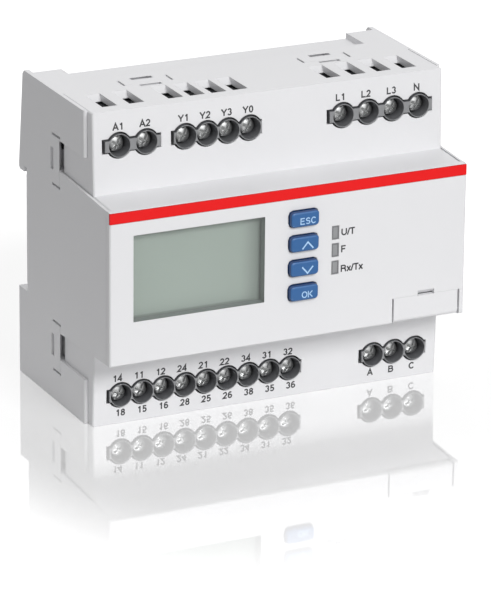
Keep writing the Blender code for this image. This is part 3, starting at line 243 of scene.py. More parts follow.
light_grey_plastic = moulded_plastic("light_grey_polycarbonate_moulded", LIGHT_GREY, 0.48)
light_grey_seam = moulded_plastic("light_grey_polycarbonate_seam_closed", LIGHT_GREY, 0.48,
                                  edge_radius=CLOSED_EDGE)
housing = refined("rear_housing", "housing_moulding")
lips = []
for side in (-1, 1):
    for heights in (UPPER_PAD, LOWER_PAD):
        lips.append(slab("pad_lip", on_side(side, (HOOD_HALF, HOOD_HALF + LIP)), (PAD_FRONT, SPLIT),
                         heights))
between_tongues = ((-HOOD_HALF, -SNAP_X - TONGUE_HALF), (TONGUE_HALF - SNAP_X, SNAP_X - TONGUE_HALF),
                   (SNAP_X + TONGUE_HALF, HOOD_HALF))
for across in between_tongues:
    lips.append(slab("top_lip", across, (SPLIT + SEAM, SPLIT + LIP), (TOP - TOP_WALL, TOP)))
combine(housing, lips, "UNION")
pockets = []
for side in (-1, 1):
    for middle, low, high in SIDE_TONGUES:
        pockets.append(slab("pocket", on_side(side, POCKET_WALL), POCKET_DEPTH, (low, high)))
        for ends in ((middle - TONGUE_EDGE, low), (high, middle + TONGUE_EDGE)):
            pockets.append(slab("groove", on_side(side, GROOVE_WALL), GROOVE_DEPTH, ends))
    x = side * SNAP_X
    pockets.append(slab("undercut", (x - SNAP_HALF, x + SNAP_HALF), SLOT_UNDERCUT,
                        (TOP - TOP_WALL, TOP - SKIN)))
combine(housing, pockets, "DIFFERENCE")
coat(smooth_rounds(housing), light_grey_plastic)
housing.data.materials.append(light_grey_seam)
flush_band(housing)
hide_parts("rear_housing")
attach(housing, "housing")


# Rail latches and their springs
# Two sliding latches of dark grey glass-filled nylon, each pushed up by a small coil spring of
# zinc-plated music wire that sits between a stop in the leg and the top of the latch's window.

DARK_GREY = "55565A"
SPRING_X = 27.0 * MM
SPRING_Y = 3.3 * MM
SPRING_LOW = -34.2 * MM
SPRING_HIGH = -25.8 * MM
SPRING_RADIUS = 1.5 * MM
SPRING_WIRE = 0.25 * MM
SPRING_TURNS = 5
STEPS_PER_TURN = 20
WIRE_SIDES = 8
PLATE_CLOUD = 2 * MM
DULL_SHARE = 0.86
WIRE_MARKS = 0.2 * MM


def plated_steel(name, colour, roughness, marks):
    """Bright zinc plate: a metal with fine turned marks round its axis that stretch the highlights."""
    finish, tree, shader, place = new_finish(name)
    cloud = add_node(tree, "ShaderNodeTexNoise", [("Scale", 1 / PLATE_CLOUD), ("Detail", 4.0)],
                     [("Vector", place)])
    rings = add_node(tree, "ShaderNodeTexWave", [("wave_type", "RINGS"), ("rings_direction", "Y"),
                                                 ("Scale", 1 / marks), ("Distortion", 0.6)],
                     [("Vector", place)])
    gloss = add_node(tree, "ShaderNodeMapRange",
                     [("To Min", roughness - 0.06), ("To Max", roughness + 0.08)],
                     [("Value", cloud.outputs["Fac"])])
    bright = linear(colour)
    shade = add_node(tree, "ShaderNodeMix",
                     [("data_type", "RGBA"), (6, scaled(bright, DULL_SHARE)), (7, bright)],
                     [(0, cloud.outputs["Fac"])])
    bump = add_node(tree, "ShaderNodeBump", [("Strength", 0.1), ("Distance", 0.01 * MM)],
                    [("Height", rings.outputs["Fac"])])
    tree.links.new(shade.outputs[2], shader.inputs["Base Color"])
    tree.links.new(gloss.outputs["Result"], shader.inputs["Roughness"])
    tree.links.new(bump.outputs["Normal"], shader.inputs["Normal"])
    shader.inputs["Metallic"].default_value = 1.0
    return finish


def coil_spring(name, x):
    """Round wire swept along a helix between the stop in the leg and the top of the latch's window."""
    count = SPRING_TURNS * STEPS_PER_TURN
    low = SPRING_LOW + SPRING_WIRE
    rise = SPRING_HIGH - SPRING_LOW - 2 * SPRING_WIRE
    shape = bmesh.new()
    rings = []
    for step in range(count + 1):
        share = step / count
        angle = math.tau * step / STEPS_PER_TURN
        across = Vector((math.cos(angle), math.sin(angle), 0))
        centre = Vector((x, SPRING_Y, low + rise * share)) + across * (SPRING_RADIUS - SPRING_WIRE)
        ring = []
        for side in range(WIRE_SIDES):
            turn = math.tau * side / WIRE_SIDES
            offset = across * math.cos(turn) + Vector((0, 0, 1)) * math.sin(turn)
            ring.append(shape.verts.new(centre + offset * SPRING_WIRE))
        rings.append(ring)
    for first, second in zip(rings, rings[1:]):
        for side in range(WIRE_SIDES):
            after = (side + 1) % WIRE_SIDES
            shape.faces.new((first[side], first[after], second[after], second[side]))
    shape.faces.new(rings[0])
    shape.faces.new(rings[-1])
    return add_piece(name, shape)


dark_grey_plastic = moulded_plastic("dark_grey_nylon_moulded", DARK_GREY, 0.5)
zinc_wire = plated_steel("zinc_plated_spring_wire_drawn", "BFC0BE", 0.3, WIRE_MARKS)
for hand, side in (("left", -1), ("right", 1)):
    latch = refined("rail_latch_" + hand, "latch_moulding_" + hand)
    coat(smooth_rounds(latch), dark_grey_plastic)
    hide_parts("rail_latch_" + hand)
    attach(latch, "rail_latch_" + hand)
    spring = coil_spring("latch_coil_" + hand, side * SPRING_X)
    coat(smooth_rounds(spring), zinc_wire)
    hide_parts("latch_spring_" + hand)
    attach(spring, "housing")
    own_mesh(spring)


# Boards and the parts soldered to them
# Two glass-epoxy boards with a green satin solder mask, the three sealed output relays, the laminated
# transformer, the capacitor in its sleeve, the switches and the pin strips.

TRACK_PITCH = 8 * MM
WEAVE = 0.4 * MM
SHEET_BAND = 3 * MM


def solder_mask(name):
    """Glass-epoxy board: green mask over the weave, with tracks showing as paler lines."""
    finish, tree, shader, place = new_finish(name)
    tracks = add_node(tree, "ShaderNodeTexBrick",
                      [("Scale", 1 / TRACK_PITCH), ("Mortar Size", 0.05), ("Color1", linear("0E4A2A")),
                       ("Color2", linear("0C4226")), ("Mortar", linear("2C7A4A"))], [("Vector", place)])
    weave = add_node(tree, "ShaderNodeTexNoise", [("Scale", 1 / WEAVE)], [("Vector", place)])
    bump = add_node(tree, "ShaderNodeBump", [("Strength", 0.2), ("Distance", 0.03 * MM)],
                    [("Height", weave.outputs["Fac"])])
    tree.links.new(tracks.outputs["Color"], shader.inputs["Base Color"])
    tree.links.new(bump.outputs["Normal"], shader.inputs["Normal"])
    shader.inputs["Roughness"].default_value = 0.35
    return finish


def laminations(name):
    """Varnished steel sheets seen at their cut edges, drawn coarser than real so that they show."""
    finish, tree, shader, place = new_finish(name)
    sheets = add_node(tree, "ShaderNodeTexWave", [("bands_direction", "Y"), ("Scale", 1 / SHEET_BAND)],
                      [("Vector", place)])
    ramp = add_node(tree, "ShaderNodeMix",
                    [("data_type", "RGBA"), (6, linear("3A3733")), (7, linear("77726B"))],
                    [(0, sheets.outputs["Fac"])])
    bump = add_node(tree, "ShaderNodeBump", [("Strength", 0.4), ("Distance", 0.05 * MM)],
                    [("Height", sheets.outputs["Fac"])])
    tree.links.new(ramp.outputs[2], shader.inputs["Base Color"])
    tree.links.new(bump.outputs["Normal"], shader.inputs["Normal"])
    shader.inputs["Roughness"].default_value = 0.45
    shader.inputs["Metallic"].default_value = 0.6
    return finish


board_mask = solder_mask("solder_mask_green_cured")
relay_case = moulded_plastic("relay_case_polyester_moulded", "1E3552", 0.35)
black_plastic = moulded_plastic("black_nylon_moulded", "1C1C1E", 0.45)
core_steel = laminations("transformer_steel_stacked")
for node in ("display_board", "main_board"):
    coat(nodes[node], board_mask)
for number in (1, 2, 3):
    coat(nodes["output_relay_" + str(number)], relay_case)
coat(nodes["supply_transformer"], core_steel)
for node in ("supply_capacitor", "board_link", "service_header", "key_switch_esc", "key_switch_up",
             "key_switch_down", "key_switch_ok"):
    coat(nodes[node], black_plastic)


# Terminal blocks
# Five rows of clamp terminals in dark grey nylon behind the cover. Each way has a round well that leads
# the screwdriver to its clamp screw. The wells' rims stand a little proud of the cover, and their front
# faces carry a paler grey that is painted light.

TERMINAL_GREY = "646568"
RIM_PAINTED_LIGHT_GREY = "8C8D8F"
UPPER_ROW = 35.95 * MM
LOWER_ROW = -35.95 * MM
TERMINAL_ROWS = {
    "supply": (UPPER_ROW, -45.2 * MM, 8.0 * MM, ("A1", "A2")),
    "control": (UPPER_ROW, -25.6 * MM, 6.45 * MM, ("Y1", "Y2", "Y3", "Y0")),
    "measuring": (UPPER_ROW, 22.1 * MM, 7.8 * MM, ("L1", "L2", "L3", "N")),
    "output": (LOWER_ROW, -44.7 * MM, 6.45 * MM, ("14_18", "11_15", "12_16", "24_28", "21_25", "22_26",
                                                  "34_38", "31_35", "32_36")),
    "bus": (LOWER_ROW, 32.8 * MM, 6.6 * MM, ("A", "B", "C")),
}
NOSE_HALF = 22.0 * MM
FACE_DEPTH = -44.0 * MM
FACE_LEAN = 0.9 * MM
UPPER_STEP = 23.7 * MM
LOWER_STEP = 22.3 * MM
RIM_PROUD = 0.55 * MM
RIM_BACK = -40.4 * MM
RIM_RADIUS = 3.3 * MM
RIM_WEB = 1.6 * MM
RIM_LEFT = 0.3 * MM
RIM_RIGHT = 0.15 * MM
WELL_RADIUS = 2.85 * MM
WELL_DEPTH = 4.5 * MM
WELL_MOUTH = 3.1 * MM
WELL_CHAMFER = 1.2 * MM
WELL_STEPS = 48


def face_depth(z):
    """Depth of the cover's leaning faces above and below the nose."""
    step = UPPER_STEP if z > 0 else LOWER_STEP
    return FACE_DEPTH + FACE_LEAN * (abs(z) - NOSE_HALF) / step


def arc(centre, radius, start, end, steps):
    """Points along an arc, angles in degrees."""
    points = []
    for step in range(steps + 1):
        angle = math.radians(start + (end - start) * step / steps)
        points.append((centre[0] + radius * math.cos(angle), centre[1] + radius * math.sin(angle)))
    return points


def chain_outline(first, pitch, count, height, radius, half_web, left, right):
    """Outline of a row of circles joined by a straight web that runs past both ends."""
    lean = math.degrees(math.asin(half_web / radius))
    start = first - pitch / 2 - left
    end = first + (count - 0.5) * pitch + right
    upper = [(start, height + half_web)]
    lower = []
    for number in range(count):
        centre = (first + number * pitch, height)
        upper += arc(centre, radius, 180 - lean, lean, 20)
        lower = arc(centre, radius, -lean, lean - 180, 20) + lower
    right_end = [(end, height + half_web), (end, height - half_web)]
    return upper + right_end + lower + [(start, height - half_web)]


def turned(name, profile, steps):
    """Revolve (radius, depth) points about the Y axis."""
    shape = bmesh.new()
    chain = [shape.verts.new((radius, depth, 0)) for radius, depth in profile]
    links = [shape.edges.new(pair) for pair in zip(chain, chain[1:])]
    bmesh.ops.spin(shape, geom=chain + links, cent=(0, 0, 0), axis=(0, 1, 0), angle=math.tau,
                   steps=steps, use_merge=True)
    bmesh.ops.remove_doubles(shape, verts=shape.verts, dist=0.0001 * MM)
    return add_piece(name, shape)


terminal_plastic = moulded_plastic("dark_grey_nylon_filled_moulded", TERMINAL_GREY, 0.45)
rim_painted_light_plastic = moulded_plastic("rim_grey_nylon_painted_light", RIM_PAINTED_LIGHT_GREY, 0.4)
for group, (height, first, pitch, ways) in TERMINAL_ROWS.items():
    rim_front = face_depth(height) - RIM_PROUD
    terminals = refined("terminal_block_" + group, "terminal_moulding_" + group)
    outline = chain_outline(first, pitch, len(ways), height, RIM_RADIUS, RIM_WEB, RIM_LEFT, RIM_RIGHT)
    combine(terminals, [prism("rims", outline, rim_front, RIM_BACK)], "UNION")
    wells = []
    for number in range(len(ways)):
        well = turned("well", ((0, -MM), (WELL_MOUTH, -MM), (WELL_MOUTH, 0), (WELL_RADIUS, WELL_CHAMFER),
                               (WELL_RADIUS, WELL_DEPTH), (0, WELL_DEPTH)), WELL_STEPS)
        well.location = (first + number * pitch, rim_front, height)
        wells.append(well)
    combine(terminals, wells, "DIFFERENCE")
    coat(smooth_rounds(terminals), terminal_plastic)
    # The rims' front faces get a paler grey than the rest of the block: painted light where the lamp
    # falls on them.
    terminals.data.materials.append(rim_painted_light_plastic)
    for face in terminals.data.polygons:
        face.material_index = int(face.center.y < rim_front + TOUCH)
    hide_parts("terminal_block_" + group)
    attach(terminals, "housing")


# Clamp screws
# Zinc-plated steel screws turned from bar, with a head that has a straight slot and a shorter, deeper
# cut across it. Each turns in the clamp at the bottom of its well.

SCREW_SETBACK = 1.9 * MM
SCREW_RADIUS = 2.2 * MM
SCREW_HEIGHT = 2.3 * MM
SCREW_DOME = 0.55 * MM
SHANK_RADIUS = 1.35 * MM
SHANK_END = 8.2 * MM
SLOT_WIDTH = 0.7 * MM
SLOT_DEPTH = 0.9 * MM
CROSS_REACH = 1.5 * MM
CROSS_DEPTH = 1.3 * MM
SCREW_TURN = math.radians(28)
SCREW_ROLL = (0.08 * MM, 0.2 * MM)
SCREW_EDGE = 0.07 * MM
SCREW_STEPS = 40
SCREW_MARKS = 0.5 * MM
DOME_STEPS = 8


def screw_shape():
    """Mesh of one screw: domed head with a rounded rim, slot, cross and a short shank."""
    dome = []
    for step in range(DOME_STEPS):
        share = step / DOME_STEPS
        dome.append((SCREW_RADIUS * share, SCREW_DOME * share ** 2))
    rim = [(SCREW_RADIUS - SCREW_ROLL[0], SCREW_DOME), (SCREW_RADIUS, SCREW_DOME + SCREW_ROLL[1])]
    shank = [(SCREW_RADIUS, SCREW_HEIGHT), (SHANK_RADIUS, SCREW_HEIGHT), (SHANK_RADIUS, SHANK_END),
             (0, SHANK_END)]
    screw = turned("screw", dome + rim + shank, SCREW_STEPS)
    half = SLOT_WIDTH / 2
    beyond = SCREW_RADIUS + MM
    slot = slab("slot", (-half, half), (-MM, SLOT_DEPTH), (-beyond, beyond))
    cross = slab("cross", (-CROSS_REACH, CROSS_REACH), (-MM, CROSS_DEPTH), (-half, half))
    combine(screw, [slot, cross], "DIFFERENCE")
    bevel = screw.modifiers.new("edge", "BEVEL")
    bevel.width = SCREW_EDGE
    bevel.segments = 2
    bevel.limit_method = "ANGLE"
    bevel.angle_limit = math.radians(50)
    graph = bpy.context.evaluated_depsgraph_get()
    mesh = bpy.data.meshes.new_from_object(screw.evaluated_get(graph))
    bpy.data.objects.remove(screw)
    return mesh


screw_steel = plated_steel("zinc_plated_steel_turned", "B9BABA", 0.4, SCREW_MARKS)
screw_mesh = screw_shape()
for group, (height, first, pitch, ways) in TERMINAL_ROWS.items():
    depth = face_depth(height) - RIM_PROUD + SCREW_SETBACK
    for number, way in enumerate(ways):
        node = "screw_" + group + "_" + way
        screw = bpy.data.objects.new("clamp_" + node, screw_mesh)
        screw.location = (first + number * pitch, depth, height)
        screw.rotation_euler = (0, SCREW_TURN, 0)
        bpy.context.scene.collection.objects.link(screw)
        coat(smooth_rounds(screw), screw_steel)
        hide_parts(node)
        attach(screw, node)


# Display
# A liquid-crystal cell in a dark frame on the display board, seen through a clear window pressed into
# the panel from behind. With no supply the cell shows only its plain grey-green reflector.

DISPLAY_CENTRE = (-27.45 * MM, 2.45 * MM)
DISPLAY_HALF = (19.45 * MM, 12.2 * MM)
CELL_HALF = (20.4 * MM, 13.2 * MM)
CELL_FRONT = -54.15 * MM
CELL_STEP = -53.3 * MM
CELL_BACK = -51.1 * MM
DOT = 0.6 * MM
DOT_SHARE = 0.05
TONE = 25 * MM
RIGHT_SHADE_SPAN = (-14.5 * MM, -7.9 * MM)
RIGHT_SHADE_SHARE = 0.55
FOOT_SHADE_SPAN = (-9.0 * MM, -9.4 * MM)
FOOT_SHADE_SHARE = 0.5
HAZE = 6 * MM


def liquid_crystal(name):
    """Polariser over a grey-green reflector: faint dot grid, with painted shade to the right and along
    the foot.
    """
    finish, tree, shader, place = new_finish(name)
    dots = add_node(tree, "ShaderNodeTexVoronoi", [("Scale", 1 / DOT), ("Randomness", 0.0)],
                    [("Vector", place)])
    tone = add_node(tree, "ShaderNodeTexNoise", [("Scale", 1 / TONE), ("Detail", 1.0)],
                    [("Vector", place)])
    grid = add_node(tree, "ShaderNodeMapRange",
                    [("From Max", 0.6), ("To Min", 0.0), ("To Max", DOT_SHARE)],
                    [("Value", dots.outputs["Distance"])])
    # Painted shade: the cell goes darker towards its right edge and along its foot, where the walls
    # round it shade it.
    part = add_node(tree, "ShaderNodeSeparateXYZ", [], [(0, place)])
    right = add_node(tree, "ShaderNodeMapRange",
                     [("interpolation_type", "SMOOTHSTEP"), ("From Min", RIGHT_SHADE_SPAN[0]),
                      ("From Max", RIGHT_SHADE_SPAN[1]), ("To Max", RIGHT_SHADE_SHARE)],
                     [("Value", part.outputs["X"])])
    foot = add_node(tree, "ShaderNodeMapRange",
                    [("From Min", FOOT_SHADE_SPAN[0]), ("From Max", FOOT_SHADE_SPAN[1]), ("To Max", FOOT_SHADE_SHARE)],
                    [("Value", part.outputs["Z"])])
    fall = add_node(tree, "ShaderNodeMath", [("operation", "MAXIMUM")],
                    [(0, right.outputs["Result"]), (1, foot.outputs["Result"])])
    soft = add_node(tree, "ShaderNodeMix",
                    [("data_type", "RGBA"), (6, linear("9AA79E")), (7, linear("A2AFA6"))],
                    [(0, tone.outputs["Fac"])])
    shade = add_node(tree, "ShaderNodeMix", [("data_type", "RGBA"), (7, linear("8E9A91"))],
                     [(0, grid.outputs["Result"]), (6, soft.outputs[2])])
    painted_shade_tone = add_node(tree, "ShaderNodeMix", [("data_type", "RGBA"), (7, linear("59615C"))],
                      [(0, fall.outputs[0]), (6, shade.outputs[2])])
    tree.links.new(painted_shade_tone.outputs[2], shader.inputs["Base Color"])
    shader.inputs["Roughness"].default_value = 0.35
    return finish


def clear_acrylic(name):
    """Polished acrylic window: nearly unseen, with a little haze and a soft gloss."""
    finish, tree, shader, place = new_finish(name)
    haze = add_node(tree, "ShaderNodeTexNoise", [("Scale", 1 / HAZE), ("Detail", 2.0)],
                    [("Vector", place)])
    gloss = add_node(tree, "ShaderNodeMapRange", [("To Min", 0.06), ("To Max", 0.12)],
                     [("Value", haze.outputs["Fac"])])
    tree.links.new(gloss.outputs["Result"], shader.inputs["Roughness"])
    shader.inputs["Base Color"].default_value = linear("DDE4E0")
    shader.inputs["IOR"].default_value = 1.49
    shader.inputs["Alpha"].default_value = 0.1
    return finish


cell_shape = bmesh.new()
for half, front, back in ((DISPLAY_HALF, CELL_FRONT, CELL_STEP), (CELL_HALF, CELL_STEP, CELL_BACK)):
    made = bmesh.ops.create_cube(cell_shape, size=1.0)
    for vert in made["verts"]:
        vert.co = Vector((DISPLAY_CENTRE[0] + 2 * half[0] * vert.co.x,
                          (front + back) / 2 + (back - front) * vert.co.y,
                          DISPLAY_CENTRE[1] + 2 * half[1] * vert.co.z))
cell = add_piece("display_cell", cell_shape)
coat(cell, liquid_crystal("liquid_crystal_cell_laminated_painted_shade"))
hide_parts("display_glass")
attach(cell, "housing")
# Grey of the display's frame, also laid on the side walls of the panel's opening round the display as
# painted shade.
frame_and_reveal_shade_plastic = moulded_plastic("display_frame_grey_abs_and_reveal_painted_shade", "6E7672", 0.5)
coat(nodes["display_bezel"], frame_and_reveal_shade_plastic)
coat(nodes["display_window"], clear_acrylic("clear_acrylic_polished"))


# Front cover
# The second main moulding, in the same light grey polycarbonate: the nose with its panel, and the hood
# with a round opening for each screw and a funnel for each wire. It snaps into the base at its tongues.

OPENING_RADIUS = 3.75 * MM
OPENING_WEB = 2.05 * MM
OPENING_LEFT = 1.0 * MM
OPENING_RIGHT = 0.45 * MM
HOOD_FRONT = -45 * MM
HOOD_BACK = -40.85 * MM
ENTRY_SHIFT = 0.6 * MM
ENTRY_RELIEF_HALF = 2.9 * MM
ENTRY_RELIEF_DEPTH = (-39.4 * MM, -27.0 * MM)
ENTRY_SKIN = 1.9 * MM
CAP_WALL = 2.9 * MM
HOOD_SKIN = (51.0 * MM, 52.9 * MM)
SIDE_WINDOWS = ((23.7 * MM, 32.2 * MM), (-31.1 * MM, -23.7 * MM))
COVER_UNDERCUT = (-24.0 * MM, -23.32 * MM)
WINDOW_LENGTH = 2.2 * MM
WINDOW_OPEN = 0.9 * MM
REVEAL_HALF = (19.8 * MM, 12.6 * MM)
REVEAL_BACK = -54.5 * MM
FLAP_LEFT = (31.6 * MM, 31.95 * MM)
FLAP_RIGHT = (52.25 * MM, 52.65 * MM)
FLAP_SEAM_DEPTH = (-57.4 * MM, -55.9 * MM)
FLAP_HEIGHTS = (-21.9 * MM, -14.65 * MM)

cover = refined("front_cover", "cover_moulding")
openings = []
for height, first, pitch, ways in TERMINAL_ROWS.values():
    outline = chain_outline(first, pitch, len(ways), height, OPENING_RADIUS, OPENING_WEB, OPENING_LEFT,
                            OPENING_RIGHT)
    openings.append(prism("opening", outline, HOOD_FRONT, HOOD_BACK))
    start = first - ENTRY_SHIFT - ENTRY_RELIEF_HALF
    end = first - ENTRY_SHIFT + (len(ways) - 1) * pitch + ENTRY_RELIEF_HALF
    upper_relief = (TOP - CAP_WALL, TOP - ENTRY_SKIN)
    lower_relief = (BOTTOM + ENTRY_SKIN, BOTTOM + CAP_WALL)
    openings.append(slab("relief", (start, end), ENTRY_RELIEF_DEPTH,
                         upper_relief if height > 0 else lower_relief))
for side in (-1, 1):
    x = side * SNAP_X
    openings.append(slab("undercut", (x - SNAP_HALF, x + SNAP_HALF), COVER_UNDERCUT,
                         (TOP - TOP_WALL, TOP - SKIN)))
for seam in (FLAP_LEFT, FLAP_RIGHT):
    openings.append(slab("flap_seam", seam, FLAP_SEAM_DEPTH, FLAP_HEIGHTS))
combine(cover, openings, "DIFFERENCE")
sills = []
for side in (-1, 1):
    for low, high in SIDE_WINDOWS:
        sills.append(slab("sill", on_side(side, HOOD_SKIN), (SPLIT - WINDOW_LENGTH, SPLIT - WINDOW_OPEN),
                          (low, high)))
combine(cover, sills, "UNION")
coat(smooth_rounds(cover), light_grey_plastic)
cover.data.materials.append(light_grey_seam)
cover.data.materials.append(frame_and_reveal_shade_plastic)
flush_band(cover)
# The side walls of the panel's opening round the display get the frame's darker grey: painted shade in
# the opening.
for face in cover.data.polygons:
    across = abs(face.center.x - DISPLAY_CENTRE[0])
    above = abs(face.center.z - DISPLAY_CENTRE[1])
    at_display = across < REVEAL_HALF[0] and above < REVEAL_HALF[1] and face.center.y < REVEAL_BACK
    if at_display and abs(face.normal.y) < 0.5:
        face.material_index = 2
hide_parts("front_cover")
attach(cover, "housing")


# Stripe
# A strip of red ABS laid flush in a groove along the panel's upper edge and held by glue. Nothing is
# printed on it.

stripe_plastic = moulded_plastic("red_abs_moulded", "EF1719", 0.4)
stripe_plastic.node_tree.nodes["Principled BSDF"].inputs["Specular IOR Level"].default_value = 0.2
coat(nodes["front_stripe"], stripe_plastic)


# Indicators
# One smoke-grey guide with three windows, flush in the panel, that carries the light of the three lamps
# on the display board. Unlit, the windows look mid grey.

guide_plastic = moulded_plastic("smoke_grey_polycarbonate_moulded", "98999B", 0.3)
coat(nodes["light_guide"], guide_plastic)


# Keys
# Four push keys of blue ABS with round corners and a rolled front edge, each on a neck and a flange that
# keeps it in the cover. Their signs are printed in pale blue, low and to the right on the face.

KEY_X = 3.7 * MM
KEY_Z = {"esc": 12.95 * MM, "up": 5.85 * MM, "down": -1.25 * MM, "ok": -8.35 * MM}
KEY_HALF = (4.3 * MM, 2.2 * MM)
KEY_CORNER = 1.1 * MM
KEY_FRONT = -58.7 * MM
KEY_BACK = -55.0 * MM
KEY_ROUND = 0.7 * MM
KEY_STEPS = 5
KEY_FACE_TILT = -0.7
KEY_BLUE = "2A629D"
# Darker blue for the keys' sides and the outer roll of their front edge: painted shade where the sides
# sit in the gap round each key.
KEY_SIDE_PAINTED_SHADE = "1A4073"
FLANGE_HALF = (5.1 * MM, 3.0 * MM)
FLANGE_FRONT = -54.7 * MM
FLANGE_BACK = -53.7 * MM
STEM_HALF = (1.5 * MM, 1.0 * MM)
STEM_BACK = -51.5 * MM
KEY_GRAIN_DEPTH = 0.006 * MM
PRINT = 0.02 * MM
ARROW_HALF = (1.65 * MM, 0.95 * MM)
ARROW_WEIGHT = 0.42 * MM
SIGN_SHIFT = (0.75 * MM, -0.45 * MM)
SIGN_HEIGHT = 1.9 * MM
SIGN_WEIGHT = 0.3 * MM
SIGN_SQUEEZE = 0.92
MITRE_LIMIT = 0.3


def rounded(centre, half, corner, steps=8):
    """Outline of a rectangle with round corners."""
    outline = []
    for start, side, rise in ((0, 1, 1), (90, -1, 1), (180, -1, -1), (270, 1, -1)):
        middle = (centre[0] + side * (half[0] - corner), centre[1] + rise * (half[1] - corner))
        outline += arc(middle, corner, start, start + 90, steps)
    return outline


def key_shape(name, x, z):
    """Key cap with a rolled front edge, built from outlines that shrink towards its face."""
    shape = bmesh.new()
    loops = []
    depths = [(0.0, KEY_BACK), (0.0, KEY_FRONT + KEY_ROUND)]
    for step in range(1, KEY_STEPS + 1):
        angle = math.radians(90 * step / KEY_STEPS)
        depths.append((KEY_ROUND * (1 - math.cos(angle)), KEY_FRONT + KEY_ROUND * (1 - math.sin(angle))))
    for inset, depth in depths:
        half = (KEY_HALF[0] - inset, KEY_HALF[1] - inset)
        outline = rounded((x, z), half, KEY_CORNER - inset / 2)
        loops.append([shape.verts.new((px, depth, pz)) for px, pz in outline])
    for first, second in zip(loops, loops[1:]):
        for index in range(len(first)):
            after = (index + 1) % len(first)
            shape.faces.new((first[index], first[after], second[after], second[index]))
    shape.faces.new(loops[0])
    shape.faces.new(loops[-1])
    cap = add_piece(name, shape)
    flange = slab("flange", (x - FLANGE_HALF[0], x + FLANGE_HALF[0]), (FLANGE_FRONT, FLANGE_BACK),
                  (z - FLANGE_HALF[1], z + FLANGE_HALF[1]))
    neck = slab("neck", (x - STEM_HALF[0], x + STEM_HALF[0]), (KEY_BACK - MM, STEM_BACK),
                (z - STEM_HALF[1], z + STEM_HALF[1]))
    return combine(cap, [neck, flange], "UNION")


def stroke(shape, points, width, depth_at):
    """Flat line of even width through points in X and Z, with mitred corners, just proud of a face."""
    rows = []
    for index, point in enumerate(points):
        here = Vector(point)
        before = Vector(points[max(index - 1, 0)])
        after = Vector(points[min(index + 1, len(points) - 1)])
        first = (here - before).normalized() if index else (after - here).normalized()
        second = (after - here).normalized() if index < len(points) - 1 else first
        normal = Vector((-(first + second).y, (first + second).x)).normalized()
        reach = width / 2 / max(normal.dot(Vector((-first.y, first.x))), MITRE_LIMIT)
        row = []
        for hand in (1, -1):
            x, z = here + normal * reach * hand
            row.append(shape.verts.new((x, depth_at(z) - PRINT, z)))
        rows.append(row)
    for (a, b), (c, d) in zip(rows, rows[1:]):
        shape.faces.new((a, b, d, c))


def curve_points(centre, radii, start, end, steps=10):
    """Points along an oval arc, angles in degrees."""
    points = []
    for step in range(steps + 1):
        angle = math.radians(start + (end - start) * step / steps)
        points.append((centre[0] + radii[0] * math.cos(angle), centre[1] + radii[1] * math.sin(angle)))
    return points


